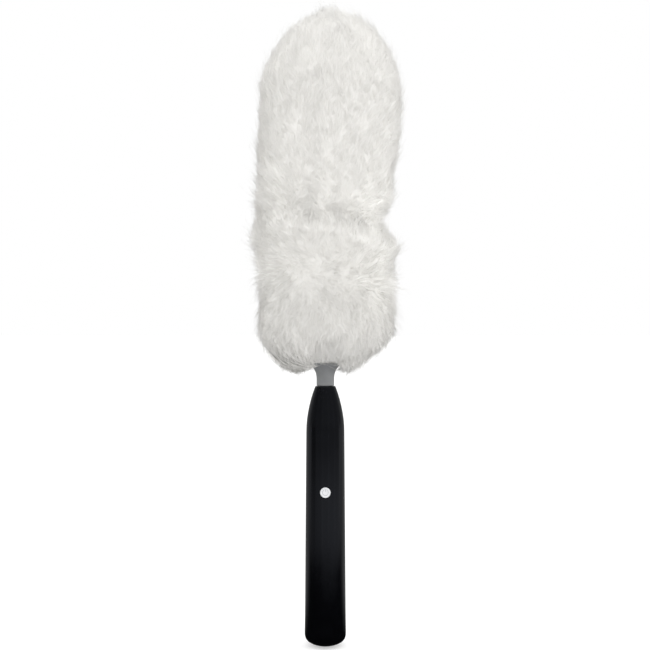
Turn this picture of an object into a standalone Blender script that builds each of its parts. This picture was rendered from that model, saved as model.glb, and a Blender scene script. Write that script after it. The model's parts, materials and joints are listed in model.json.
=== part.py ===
"""Battery spin duster: a motor in the handle turns a long pile head.

Metres, +Z up along the wand, the power button facing -Y. The origin is on the small flat foot of the
end cap. Everything is stacked upwards from that foot: battery pack, contacts, switch, motor, gearbox,
bushes, nose and head.
"""

import math

import bmesh
import bpy
from mathutils import Vector, noise

# Fits
FIT_GAP = 0.0003
SLIDE_GAP = 0.0003
RUNNING_GAP = 0.00006
PIN_GAP = 0.0001
HEAD_GAP = 0.0004
OVERCUT = 0.0010

# Battery cells, size AA, in two columns
CELL_RADIUS = 0.00725
CELL_LENGTH = 0.0505
CELL_NUB_RADIUS = 0.00275
CELL_NUB_HEIGHT = 0.0011
CELL_PLAY = 0.00015
CELL_EDGE = 0.0004
CELLS_PER_COLUMN = 2

# Battery cartridge and its contacts
CARTRIDGE_WEB = 0.0010
CARTRIDGE_RIM = 0.00065
CARTRIDGE_BASE = 0.0030
CARTRIDGE_LID = 0.0030
STRIP_THICKNESS = 0.0004
CONTACT_SPRING_HEIGHT = 0.0037
SPRING_WIRE_RADIUS = 0.0003
RIVET_STEM_RADIUS = 0.0015
RIVET_HEAD_RADIUS = 0.0036

# End cap
CAP_HEIGHT = 0.0280
CAP_DOME_HEIGHT = 0.0131
CAP_DOME_POWER = 2.2
CAP_WALL = 0.0015
CAP_FLOOR = 0.0030
CAP_SEAT_HEIGHT = 0.0120
CAP_SEAT_WIDTH = 0.0013
FOOT_RADIUS = 0.0050
SEAL_HEIGHT = 0.0013
SEAL_RISE = 0.0024

# Casing
NECK_WALL = 0.0011
CASING_WALL = 0.0020
CASING_TAPER = 0.0011
SEAM_GAP = 0.0003
RIB_HEIGHT = 0.0015
RIB_DEPTH = 0.0018
SHOULDER_RISE = 0.0080
NOSE_LENGTH = 0.0435
NOSE_TIP_RADIUS = 0.0094
LIP_RADIUS = 0.0005
NOSE_BLOCK_LENGTH = 0.0156
MOTOR_RIB_WIDTH = 0.0016
MOTOR_RIB_TURNS = (-55, 0, 55)
DETAIL_INSET = 0.0020

# Casing screws
SCREW_RADIUS = 0.0010
SCREW_HEAD_RADIUS = 0.0021
SCREW_HEAD_HEIGHT = 0.0015
BOSS_WALL = 0.0014
LOWER_SCREW_OFFSET = 0.0110
LOWER_SCREW_DEPTH = 0.0080
UPPER_SCREW_OFFSET = 0.0090
UPPER_SCREW_DEPTH = 0.0050

# Contacts, switch and button
BULKHEAD_THICKNESS = 0.0020
LEAF_WIDTH = 0.0050
LEAF_TAB_HEIGHT = 0.0052
BUTTON_RADIUS = 0.0048
BUTTON_FLANGE = 0.0010
BUTTON_FLANGE_THICKNESS = 0.0008
BUTTON_PROUD = 0.0004
BUTTON_GAP = 0.00025
BUTTON_TRAVEL = 0.0012
BUTTON_EDGE = 0.0003
BUTTON_STEM_RADIUS = 0.0018
PLUNGER_RADIUS = 0.0016
PLUNGER_LENGTH = 0.0035
SWITCH_WIDTH = 0.0070
SWITCH_DEPTH = 0.0046
SWITCH_INSET = 0.0036
BOARD_WIDTH = 0.0170
BOARD_LENGTH = 0.0180
BOARD_THICKNESS = 0.0016
RAIL_WIDTH = 0.0020
LEAD_RADIUS = 0.00065

# Motor
MOTOR_RADIUS = 0.0122
MOTOR_LENGTH = 0.0308
MOTOR_WALL = 0.0009
MOTOR_BOSS_RADIUS = 0.0035
MOTOR_BOSS_HEIGHT = 0.0012
MOTOR_SHAFT_RADIUS = 0.0010
MAGNET_THICKNESS = 0.0021
MAGNET_LENGTH = 0.0200
MAGNET_ANGLE = math.radians(140)
ARMATURE_GAP = 0.0005
ARMATURE_POLES = 3
COMMUTATOR_RADIUS = 0.0030
COMMUTATOR_LENGTH = 0.0028
BELL_THICKNESS = 0.0026

# Planetary gearbox, two like stages
SUN_TEETH = 9
PLANET_TEETH = 9
PLANET_COUNT = 3
SUN_PITCH_RADIUS = 0.0040
PRESSURE_ANGLE = math.radians(25)
ADDENDUM = 0.80
DEDENDUM = 1.15
BACKLASH = 0.00010
FIRST_GEAR_LENGTH = 0.0055
SECOND_GEAR_LENGTH = 0.0062
CARRIER_THICKNESS = 0.0020
PLANET_PIN_RADIUS = 0.00145
RING_WALL = 0.0015
GEARBOX_PLATE = 0.0018
KEY_WIDTH = 0.0024
KEY_DEPTH = 0.0007

# Output spindle, bushes and seal
SPINDLE_RADIUS = 0.0030
SPINDLE_TANG_RADIUS = 0.0023
SPINDLE_COLLAR_RADIUS = 0.0046
SPINDLE_COLLAR_HEIGHT = 0.0019
BUSH_WALL = 0.0025
BUSH_FLANGE = 0.0019
BUSH_FLANGE_THICKNESS = 0.0010
BUSH_LENGTH = 0.0080
NOSE_BUSH_LENGTH = 0.0064
SEAL_THICKNESS = 0.0012
DRIVE_ROOT = 0.0010
DRIVE_LENGTH = 0.0280
GRIP_GROOVE_DEPTH = 0.0008
GRIP_RING_RADIUS = 0.0004

# Head
COLLAR_RADIUS = 0.0083
COLLAR_FLARE_RADIUS = 0.0127
COLLAR_FLARE_HEIGHT = 0.0184
COLLAR_FLANGE = 0.0017
COLLAR_FLARE_POWER = 2.6
COLLAR_STRAIGHT_SHARE = 0.30
COLLAR_RIM_EDGE = 0.0014
COLLAR_FLOOR = 0.0033
COLLAR_PLUG_LENGTH = 0.0180
SOCKET_WALL = 0.0018
SOCKET_ROOF = 0.0030
TUBE_RADIUS = 0.0118
TUBE_WALL = 0.0011
TUBE_LENGTH = 0.3060
TIP_CAP_SPIGOT = 0.0080
TIP_CAP_THICKNESS = 0.0030
TIP_EDGE = 0.0008
BACKING_THICKNESS = 0.0013
PILE_ABOVE_TIP = 0.0226
PILE_SKIRT = 0.0080
PILE_RADIUS = 0.0675
PILE_DOME = 0.0850
PILE_FOOT = 0.0400
PILE_FOOT_RADIUS = 0.0280
PILE_FOOT_POWER = 1.4
PILE_LEAN = 0.0058
GROOVE_FROM_FOOT = 0.1465
GROOVE_SLOPE = 0.115
GROOVE_WIDTH = 0.0110
GROOVE_DEPTH = 0.0045
TIER_BULGE = 0.0055
CLUMP_SIZE = 0.0340
CLUMP_DEPTH = 0.0035

# Radii that follow from the cells and the gears
COLUMN_OFFSET = CELL_RADIUS + CELL_PLAY + CARTRIDGE_WEB / 2
CARTRIDGE_RADIUS = COLUMN_OFFSET + CELL_RADIUS + CARTRIDGE_RIM
NECK_BORE = CARTRIDGE_RADIUS + SLIDE_GAP
NECK_RADIUS = NECK_BORE + NECK_WALL
CAP_BORE = NECK_RADIUS + SLIDE_GAP * 2 / 3
HANDLE_RADIUS = CAP_BORE + CAP_WALL
GEAR_MODULE = 2 * SUN_PITCH_RADIUS / SUN_TEETH
PLANET_PITCH_RADIUS = GEAR_MODULE * PLANET_TEETH / 2
PLANET_ORBIT = SUN_PITCH_RADIUS + PLANET_PITCH_RADIUS
RING_TEETH = SUN_TEETH + 2 * PLANET_TEETH
RING_PITCH_RADIUS = GEAR_MODULE * RING_TEETH / 2
RING_RADIUS = RING_PITCH_RADIUS + DEDENDUM * GEAR_MODULE + RING_WALL
CARRIER_RADIUS = RING_PITCH_RADIUS - ADDENDUM * GEAR_MODULE - 2 * FIT_GAP
BUSH_RADIUS = SPINDLE_RADIUS + RUNNING_GAP + BUSH_WALL
BUSH_SEAT_RADIUS = BUSH_RADIUS + FIT_GAP
DRIVE_RADIUS = SPINDLE_RADIUS
DRIVE_HOLE_RADIUS = DRIVE_RADIUS + PIN_GAP * 2 / math.cos(math.pi / 6)
SOCKET_RADIUS = DRIVE_HOLE_RADIUS + SOCKET_WALL
BACKING_BORE = TUBE_RADIUS + FIT_GAP
PILE_BORE = BACKING_BORE + BACKING_THICKNESS + FIT_GAP
COLLAR_RIM_RADIUS = COLLAR_FLARE_RADIUS + COLLAR_FLANGE

# Heights of the battery pack, upwards from the foot
CARTRIDGE_BOTTOM = CAP_SEAT_HEIGHT + FIT_GAP
STRIP_BOTTOM = CARTRIDGE_BOTTOM + CARTRIDGE_BASE + FIT_GAP
COLUMN_BOTTOM = STRIP_BOTTOM + STRIP_THICKNESS + FIT_GAP
CELL_STEP = CELL_LENGTH + FIT_GAP
COLUMN_TOP = COLUMN_BOTTOM + CONTACT_SPRING_HEIGHT + CELLS_PER_COLUMN * CELL_STEP
RIVET_BOTTOM = COLUMN_TOP + FIT_GAP
LID_BOTTOM = RIVET_BOTTOM + STRIP_THICKNESS + FIT_GAP
CARTRIDGE_TOP = LID_BOTTOM + CARTRIDGE_LID
RIVET_TOP = CARTRIDGE_TOP + FIT_GAP + STRIP_THICKNESS

# Heights inside the casing, upwards from the battery pack
SEAL_BOTTOM = CAP_SEAT_HEIGHT + SEAL_RISE
NECK_BOTTOM = SEAL_BOTTOM + SEAL_HEIGHT + FIT_GAP
CASING_BOTTOM = CAP_HEIGHT + FIT_GAP
LEAF_BOTTOM = RIVET_TOP + FIT_GAP
BULKHEAD_BOTTOM = LEAF_BOTTOM + STRIP_THICKNESS + FIT_GAP
BULKHEAD_RIB = BULKHEAD_BOTTOM + BULKHEAD_THICKNESS + FIT_GAP
BOSS_RADIUS = SCREW_HEAD_RADIUS + FIT_GAP + BOSS_WALL
LOWER_SCREW_HEIGHT = BULKHEAD_RIB + RIB_HEIGHT + BOSS_RADIUS
BOARD_BOTTOM = LOWER_SCREW_HEIGHT + BOSS_RADIUS + FIT_GAP
BUTTON_CENTRE = BOARD_BOTTOM + SWITCH_WIDTH / 2 + SWITCH_INSET
MOTOR_RIB = BOARD_BOTTOM + BOARD_LENGTH + 2 * FIT_GAP
MOTOR_BOTTOM = MOTOR_RIB + RIB_HEIGHT + FIT_GAP
MOTOR_TOP = MOTOR_BOTTOM + MOTOR_LENGTH
GEARBOX_BASE = MOTOR_TOP + FIT_GAP
RING_BOTTOM = GEARBOX_BASE + GEARBOX_PLATE + FIT_GAP
FIRST_GEARS = RING_BOTTOM + 2 * FIT_GAP
FIRST_CARRIER = FIRST_GEARS + FIRST_GEAR_LENGTH + FIT_GAP
SECOND_GEARS = FIRST_CARRIER + CARRIER_THICKNESS + FIT_GAP
SECOND_CARRIER = SECOND_GEARS + SECOND_GEAR_LENGTH + FIT_GAP
SPINDLE_COLLAR = SECOND_CARRIER + CARRIER_THICKNESS + FIT_GAP
BUSH_BOTTOM = SPINDLE_COLLAR + SPINDLE_COLLAR_HEIGHT + FIT_GAP
GEARBOX_COVER = BUSH_BOTTOM + BUSH_FLANGE_THICKNESS + FIT_GAP
RING_TOP = GEARBOX_COVER - FIT_GAP
COVER_TOP = GEARBOX_COVER + GEARBOX_PLATE
COVER_HUB_TOP = BUSH_BOTTOM + BUSH_LENGTH
COVER_RIB = COVER_TOP + FIT_GAP
UPPER_SCREW_HEIGHT = COVER_HUB_TOP + BOSS_RADIUS + FIT_GAP
SHOULDER = RING_BOTTOM + SHOULDER_RISE
NOSE_TOP = SHOULDER + NOSE_LENGTH
NOSE_BLOCK = NOSE_TOP - NOSE_BLOCK_LENGTH
NOSE_BUSH_BOTTOM = NOSE_TOP - SEAL_THICKNESS - 2 * FIT_GAP - NOSE_BUSH_LENGTH
SEAL_SEAT = NOSE_TOP - SEAL_THICKNESS - FIT_GAP

# Heights of the head, upwards from the nose
COLLAR_BOTTOM = NOSE_TOP + HEAD_GAP
SOCKET_BOTTOM = COLLAR_BOTTOM + COLLAR_FLOOR
DRIVE_BOTTOM = NOSE_TOP + DRIVE_ROOT
DRIVE_TOP = SOCKET_BOTTOM + DRIVE_LENGTH
SOCKET_TOP = DRIVE_TOP + FIT_GAP + SOCKET_ROOF
COLLAR_RIM = COLLAR_BOTTOM + COLLAR_FLARE_HEIGHT
COLLAR_RIM_TOP = COLLAR_RIM + COLLAR_FLANGE + COLLAR_RIM_EDGE
TUBE_BOTTOM = COLLAR_RIM_TOP + FIT_GAP
COLLAR_TOP = max(COLLAR_RIM_TOP + COLLAR_PLUG_LENGTH, SOCKET_TOP + FIT_GAP)
TUBE_TOP = TUBE_BOTTOM + TUBE_LENGTH
TIP_TOP = TUBE_TOP + FIT_GAP + TIP_CAP_THICKNESS
BACKING_TOP = TIP_TOP + FIT_GAP + BACKING_THICKNESS
PILE_TOP = BACKING_TOP + PILE_ABOVE_TIP
PILE_BOTTOM = COLLAR_RIM_TOP - PILE_SKIRT

# Places across the handle
RIB_SHARE = ((COVER_RIB - SHOULDER) / NOSE_LENGTH) ** 2
GEARBOX_ROOM = RING_RADIUS + FIT_GAP + CASING_WALL
SHOULDER_RADIUS = max(HANDLE_RADIUS - CASING_TAPER,
                      (GEARBOX_ROOM - NOSE_TIP_RADIUS * RIB_SHARE) / (1.0 - RIB_SHARE))
NOSE_DROP = SHOULDER_RADIUS - NOSE_TIP_RADIUS
NOSE_ARC_RADIUS = (NOSE_LENGTH ** 2 + NOSE_DROP ** 2) / (2 * NOSE_DROP)
TAPER_RATE = (HANDLE_RADIUS - SHOULDER_RADIUS) / (SHOULDER - CASING_BOTTOM)


def casing_radius(height):
    """Outer radius of the casing: a straight taper, then the arc of the nose."""
    if height <= SHOULDER:
        return HANDLE_RADIUS - TAPER_RATE * max(0.0, height - CASING_BOTTOM)
    rise = min(height - SHOULDER, NOSE_LENGTH)
    return SHOULDER_RADIUS - NOSE_ARC_RADIUS + math.sqrt(NOSE_ARC_RADIUS ** 2 - rise ** 2)


def casing_bore(height):
    """Inner radius of the casing."""
    return casing_radius(height) - CASING_WALL


BUTTON_FACE = casing_radius(BUTTON_CENTRE) + BUTTON_PROUD
BUTTON_FLANGE_RADIUS = BUTTON_RADIUS + BUTTON_FLANGE
BUTTON_FLANGE_FRONT = math.sqrt(casing_bore(BUTTON_CENTRE) ** 2 - BUTTON_FLANGE_RADIUS ** 2) - FIT_GAP
BUTTON_STEM_END = BUTTON_FLANGE_FRONT - BUTTON_FLANGE_THICKNESS - BUTTON_EDGE
PLUNGER_FRONT = BUTTON_STEM_END - FIT_GAP
SWITCH_FRONT = PLUNGER_FRONT - BUTTON_TRAVEL + PIN_GAP
PLUNGER_BACK = PLUNGER_FRONT - PLUNGER_LENGTH
SWITCH_BACK = SWITCH_FRONT - SWITCH_DEPTH
BOARD_FRONT = SWITCH_BACK - FIT_GAP
BOARD_BACK = BOARD_FRONT - BOARD_THICKNESS


def new_material(name, colour, roughness, metallic=0.0):
    """A Principled material of one colour."""
    made = bpy.data.materials.new(name)
    made.use_nodes = True
    shader = made.node_tree.nodes["Principled BSDF"]
    shader.inputs["Base Color"].default_value = (*colour, 1.0)
    shader.inputs["Roughness"].default_value = roughness
    shader.inputs["Metallic"].default_value = metallic
    made.diffuse_color = (*colour, 1.0)
    return made


def add_object(name, data, material, place=(0.0, 0.0, 0.0)):
    """Link an object that holds the data, with its material."""
    made = bpy.data.objects.new(name, data)
    made.location = place
    if material:
        data.materials.append(material)
    bpy.context.scene.collection.objects.link(made)
    return made


def add_solid(name, work, material, place=(0.0, 0.0, 0.0)):
    """Turn a bmesh into an object whose faces point out, smooth but for its sharp edges."""
    bmesh.ops.recalc_face_normals(work, faces=work.faces)
    mesh = bpy.data.meshes.new(name)
    work.to_mesh(mesh)
    work.free()
    mesh.shade_smooth()
    mesh.set_sharp_from_angle(angle=math.radians(35))
    return add_object(name, mesh, material, place)


def turned(name, outline, material, sides=32, place=(0.0, 0.0, 0.0)):
    """Spin an outline of (radius, height) about Z. It closes on itself, or ends on the axis."""
    work = bmesh.new()
    points = [work.verts.new((radius, 0.0, height)) for radius, height in outline]
    edges = [work.edges.new(pair) for pair in zip(points, points[1:])]
    if outline[0][0] > 0.0 or outline[-1][0] > 0.0:
        edges.append(work.edges.new((points[-1], points[0])))
    bmesh.ops.spin(work, geom=points + edges, cent=(0, 0, 0), axis=(0, 0, 1),
                   angle=2 * math.pi, steps=sides, use_merge=True)
    bmesh.ops.remove_doubles(work, verts=work.verts, dist=1e-7)
    return add_solid(name, work, material, place)


def ring_outline(inner, outer, low, high):
    """The outline of a plain ring or tube."""
    return [(inner, low), (outer, low), (outer, high), (inner, high)]


def disc(name, radius, low, high, material, sides=32, place=(0.0, 0.0, 0.0)):
    """A plain cylinder about Z."""
    return turned(name, [(0.0, low), (radius, low), (radius, high), (0.0, high)],
                  material, sides, place)


def block(name, low, high, material):
    """A box between two corners."""
    work = bmesh.new()
    bmesh.ops.create_cube(work, size=1.0)
    low, high = Vector(low), Vector(high)
    for corner in work.verts:
        corner.co = [low[i] + (corner.co[i] + 0.5) * (high[i] - low[i]) for i in range(3)]
    return add_solid(name, work, material)


def prism(name, outline, low, high, material, place=(0.0, 0.0, 0.0), bore=0.0, bore_sides=12):
    """Extrude an outline of (x, y) between two heights, with a round bore along Z if asked."""
    work = bmesh.new()
    corners = [work.verts.new((x, y, low)) for x, y in outline]
    face = work.faces.new(corners)
    raised = bmesh.ops.extrude_face_region(work, geom=[face])["geom"]
    top = [item for item in raised if isinstance(item, bmesh.types.BMVert)]
    bmesh.ops.translate(work, verts=top, vec=(0.0, 0.0, high - low))
    made = add_solid(name, work, material, place)
    if bore > 0.0:
        drill = disc("drill", bore, low - OVERCUT, high + OVERCUT, None, bore_sides, place)
        combine(made, drill, "DIFFERENCE")
    return made


def tube_along(name, points, radius, material, bevel_resolution=2):
    """A round wire or lead with capped ends along points."""
    curve = bpy.data.curves.new(name, "CURVE")
    curve.dimensions = "3D"
    curve.bevel_depth = radius
    curve.bevel_resolution = bevel_resolution
    curve.use_fill_caps = True
    spline = curve.splines.new("POLY")
    spline.points.add(len(points) - 1)
    for held, point in zip(spline.points, points):
        held.co = (*point, 1.0)
    return add_object(name, curve, material)


def lay_along_y(item, side):
    """Turn a mesh made along Z to lie along Y, towards the rear (1) or the button's side (-1)."""
    for corner in item.data.vertices:
        x, y, z = corner.co
        corner.co = (x, side * z, -side * y)


def combine(base, tool, operation):
    """Cut, join or intersect base with tool for good, and drop the tool."""
    step = base.modifiers.new(operation.lower(), "BOOLEAN")
    step.operation = operation
    step.object = tool
    graph = bpy.context.evaluated_depsgraph_get()
    mesh = bpy.data.meshes.new_from_object(base.evaluated_get(graph))
    base.modifiers.clear()
    base.data = mesh
    mesh.shade_smooth()
    mesh.set_sharp_from_angle(angle=math.radians(35))
    bpy.data.objects.remove(tool)


def carry(name, place, children):
    """Parent pieces to an empty that sits on their joint's axis, leaving them where they are."""
    axis = bpy.data.objects.new(name, None)
    axis.location = place
    axis.empty_display_size = 0.02
    bpy.context.scene.collection.objects.link(axis)
    for child in children:
        child.parent = axis
        child.location -= Vector(place)
    return axis


def smooth_step(value):
    """0 below 0, 1 above 1 and an even ramp between."""
    value = min(1.0, max(0.0, value))
    return value * value * (3.0 - 2.0 * value)


# Gear teeth

def tooth_half_angle(radius, pitch_radius, teeth, slack):
    """Half the angle of a tooth at a radius, on involute flanks thinned by the slack."""
    base = pitch_radius * math.cos(PRESSURE_ANGLE)
    turn = math.acos(min(1.0, base / radius))
    return (math.pi / (2 * teeth) - slack / (2 * pitch_radius)
            + math.tan(PRESSURE_ANGLE) - PRESSURE_ANGLE - math.tan(turn) + turn)


def gear_outline(teeth, root, tip, slack, levels, phase=0.0):
    """The corners of a gear, with each flank read at a few levels from root to tip."""
    pitch_radius = GEAR_MODULE * teeth / 2
    radii = [root + (tip - root) * level for level in levels]
    corners = []
    for tooth in range(teeth):
        middle = phase + 2 * math.pi * tooth / teeth
        rising = [(radius, -tooth_half_angle(radius, pitch_radius, teeth, slack)) for radius in radii]
        falling = [(radius, -angle) for radius, angle in reversed(rising)]
        for radius, angle in rising + falling:
            corners.append((radius * math.cos(middle + angle), radius * math.sin(middle + angle)))
    return corners


def outer_gear(name, teeth, low, high, material, place, bore, phase=0.0):
    """A gear with teeth outside."""
    pitch_radius = GEAR_MODULE * teeth / 2
    outline = gear_outline(teeth, pitch_radius - DEDENDUM * GEAR_MODULE,
                           pitch_radius + ADDENDUM * GEAR_MODULE, BACKLASH, (0.0, 0.55, 1.0), phase)
    return prism(name, outline, low, high, material, place, bore)


# Battery pack

def make_end_cap(material):
    """A domed cup: its skirt goes over the casing's neck, its seat carries the cartridge."""
    reach = CAP_DOME_HEIGHT
    outline = []
    steps = 6
    least = math.acos((FOOT_RADIUS / HANDLE_RADIUS) ** (CAP_DOME_POWER / 2))
    low = reach * (1.0 - math.sin(least) ** (2 / CAP_DOME_POWER))
    for step in range(steps + 1):
        angle = least * (1.0 - step / steps)
        radius = HANDLE_RADIUS * math.cos(angle) ** (2 / CAP_DOME_POWER)
        height = reach * (1.0 - math.sin(angle) ** (2 / CAP_DOME_POWER)) - low
        outline.append((radius, height))
    seat_bore = CARTRIDGE_RADIUS - CAP_SEAT_WIDTH
    seal_seat = SEAL_BOTTOM - FIT_GAP
    pocket = NECK_BORE - PIN_GAP
    outline += [
        (HANDLE_RADIUS, CAP_HEIGHT),
        (CAP_BORE, CAP_HEIGHT),
        (CAP_BORE, seal_seat),
        (pocket, seal_seat),
        (pocket, CAP_SEAT_HEIGHT),
        (seat_bore, CAP_SEAT_HEIGHT),
        (seat_bore * 0.96, CAP_SEAT_HEIGHT * 0.66),
        (seat_bore * 0.80, CAP_FLOOR + (CAP_SEAT_HEIGHT - CAP_FLOOR) * 0.20),
        (seat_bore * 0.55, CAP_FLOOR),
        (0.0, CAP_FLOOR),
    ]
    return turned("end_cap", [(0.0, 0.0)] + outline, material, 28)


def make_cap_seal(material):
    """The gasket between the cap's seat and the end of the casing's neck."""
    return turned("cap_seal", ring_outline(NECK_BORE, NECK_RADIUS, SEAL_BOTTOM, SEAL_BOTTOM + SEAL_HEIGHT),
                  material, 28)


def make_cartridge(material):
    """A frame with two columns for cells, open at both sides, between a base and a lid."""
    frame = disc("battery_cartridge", CARTRIDGE_RADIUS, CARTRIDGE_BOTTOM, CARTRIDGE_TOP, material, 36)
    bore = CELL_RADIUS + CELL_PLAY
    low, high = CARTRIDGE_BOTTOM + CARTRIDGE_BASE, LID_BOTTOM
    for side in (-1, 1):
        column = disc("column", bore, low, high, None, 20, (side * COLUMN_OFFSET, 0.0, 0.0))
        combine(frame, column, "DIFFERENCE")
        mouth = sorted((side * COLUMN_OFFSET, side * 2 * CARTRIDGE_RADIUS))
        window = block("window", (mouth[0], -bore, low), (mouth[1], bore, high), None)
        combine(frame, window, "DIFFERENCE")
        drill = disc("drill", RIVET_STEM_RADIUS + FIT_GAP, LID_BOTTOM - OVERCUT, CARTRIDGE_TOP + OVERCUT,
                     None, 12, (side * COLUMN_OFFSET, 0.0, 0.0))
        combine(frame, drill, "DIFFERENCE")
    reach = LEAF_WIDTH / 2 + FIT_GAP
    slot = block("slot", (-COLUMN_OFFSET, -reach, low - PIN_GAP), (COLUMN_OFFSET, reach, COLUMN_BOTTOM), None)
    combine(frame, slot, "DIFFERENCE")
    return frame


def make_cells(jacket):
    """Two columns of cells, one with its nubs up and one with its nubs down."""
    body = CELL_LENGTH - CELL_NUB_HEIGHT
    outline = [
        (0.0, 0.0), (CELL_RADIUS - CELL_EDGE, 0.0), (CELL_RADIUS, CELL_EDGE),
        (CELL_RADIUS, body - CELL_EDGE), (CELL_RADIUS - CELL_EDGE, body),
        (CELL_NUB_RADIUS, body), (CELL_NUB_RADIUS, CELL_LENGTH), (0.0, CELL_LENGTH),
    ]
    cells = []
    for side in (1, -1):
        for row in range(CELLS_PER_COLUMN):
            if side > 0:
                height = COLUMN_BOTTOM + CONTACT_SPRING_HEIGHT + FIT_GAP + row * CELL_STEP
            else:
                height = COLUMN_BOTTOM + row * CELL_STEP
            cell = turned(f"battery_{len(cells) + 1}", outline, jacket, 16)
            if side < 0:
                cell.rotation_euler.x = math.pi
                height += CELL_LENGTH
            cell.location = (side * COLUMN_OFFSET, 0.0, height)
            cells.append(cell)
    return cells


def make_contact_spring(name, place, upwards, metal):
    """A conical contact spring, wide at its foot."""
    turns, steps = 3, 8
    rise = CONTACT_SPRING_HEIGHT - 2 * SPRING_WIRE_RADIUS - FIT_GAP
    wide, narrow = CELL_RADIUS * 0.58, CELL_RADIUS * 0.33
    points = []
    for step in range(turns * steps + 1):
        share = step / (turns * steps)
        radius = wide + (narrow - wide) * share
        angle = 2 * math.pi * step / steps
        height = (SPRING_WIRE_RADIUS + rise * share) * upwards
        points.append((place[0] + radius * math.cos(angle),
                       place[1] + radius * math.sin(angle), place[2] + height))
    return tube_along(name, points, SPRING_WIRE_RADIUS, metal, 1)


def make_battery_contacts(metal):
    """The link strip and springs below and above the cells, and the rivets through the lid."""
    reach = LEAF_WIDTH / 2
    strip = block("link_strip", (-COLUMN_OFFSET + FIT_GAP, -reach, STRIP_BOTTOM),
                  (COLUMN_OFFSET - FIT_GAP, reach, STRIP_BOTTOM + STRIP_THICKNESS), metal)
    springs = [
        make_contact_spring("contact_spring_1", (COLUMN_OFFSET, 0.0, COLUMN_BOTTOM), 1, metal),
        make_contact_spring("contact_spring_2", (-COLUMN_OFFSET, 0.0, COLUMN_TOP), -1, metal),
    ]
    rivets = []
    for number, side in enumerate((1, -1), 1):
        outline = [
            (0.0, RIVET_BOTTOM), (RIVET_HEAD_RADIUS, RIVET_BOTTOM),
            (RIVET_HEAD_RADIUS, RIVET_BOTTOM + STRIP_THICKNESS),
            (RIVET_STEM_RADIUS, RIVET_BOTTOM + STRIP_THICKNESS),
            (RIVET_STEM_RADIUS, CARTRIDGE_TOP + FIT_GAP), (RIVET_HEAD_RADIUS, CARTRIDGE_TOP + FIT_GAP),
            (RIVET_HEAD_RADIUS, RIVET_TOP), (0.0, RIVET_TOP),
        ]
        rivets.append(turned(f"terminal_rivet_{number}", outline, metal, 12,
                             (side * COLUMN_OFFSET, 0.0, 0.0)))
    return [strip] + springs + rivets


# Casing

def nose_arc(inset, low, high, steps):
    """Points up the casing's wall between two heights, set in from its outside."""
    heights = [low + (high - low) * step / steps for step in range(steps + 1)]
    return [(casing_radius(height) - inset, height) for height in heights]


def casing_outline():
    """The closed section of the casing wall, up the outside and down the inside."""
    outside = [(NECK_RADIUS, NECK_BOTTOM), (NECK_RADIUS, CASING_BOTTOM), (HANDLE_RADIUS, CASING_BOTTOM)]
    outside += nose_arc(0.0, SHOULDER, NOSE_TOP - LIP_RADIUS, 7)
    outside.append((casing_radius(NOSE_TOP) - LIP_RADIUS, NOSE_TOP))
    shaft_hole = SPINDLE_RADIUS + 3 * FIT_GAP
    block_wall = casing_bore(NOSE_BLOCK)
    inside = [
        (BUSH_SEAT_RADIUS, NOSE_TOP),
        (BUSH_SEAT_RADIUS, NOSE_BUSH_BOTTOM - FIT_GAP),
        (shaft_hole, NOSE_BUSH_BOTTOM - FIT_GAP),
        (shaft_hole, NOSE_BLOCK),
        (block_wall, NOSE_BLOCK),
    ]
    inside += reversed(nose_arc(CASING_WALL, COVER_RIB + RIB_HEIGHT, NOSE_BLOCK, 3)[1:-1])
    ribs = [(COVER_RIB, RING_RADIUS - RIB_DEPTH), (MOTOR_RIB, MOTOR_RADIUS - RIB_DEPTH),
            (BULKHEAD_RIB, casing_bore(BULKHEAD_RIB) - RIB_DEPTH)]
    for height, rib_bore in ribs:
        top = height + RIB_HEIGHT
        inside += [(casing_bore(top), top), (rib_bore, top), (rib_bore, height),
                   (casing_bore(height), height)]
        if height > SHOULDER:
            inside.append((casing_bore(SHOULDER), SHOULDER))
    bay_bottom = CASING_BOTTOM + CASING_WALL
    inside += [(casing_bore(bay_bottom), bay_bottom), (NECK_BORE, bay_bottom), (NECK_BORE, NECK_BOTTOM)]
    return outside + inside


def boss(side, radius, low, high, place, sides=16):
    """A round boss or hole along Y, between two distances from the seam, front or rear."""
    made = disc("boss", radius, low, high, None, sides)
    lay_along_y(made, side)
    made.location = place
    return made


def screw_places():
    """Where the casing screws stand, and how far they reach each way from the seam."""
    places = []
    for offset, height, depth in ((LOWER_SCREW_OFFSET, LOWER_SCREW_HEIGHT, LOWER_SCREW_DEPTH),
                                  (UPPER_SCREW_OFFSET, UPPER_SCREW_HEIGHT, UPPER_SCREW_DEPTH)):
        places += [((side * offset, 0.0, height), depth) for side in (-1, 1)]
    return places


def wall_core():
    """The space inside the middle of the casing wall, which trims ribs and bosses to the wall."""
    heights = [NECK_BOTTOM, SHOULDER] + [SHOULDER + NOSE_LENGTH * step / 5 for step in range(1, 5)]
    inset = CASING_WALL / 2
    outline = [(0.0, heights[0])] + [(casing_radius(height) - inset, height) for height in heights]
    return turned("wall_core", outline + [(0.0, heights[-1])], None, 32)


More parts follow.
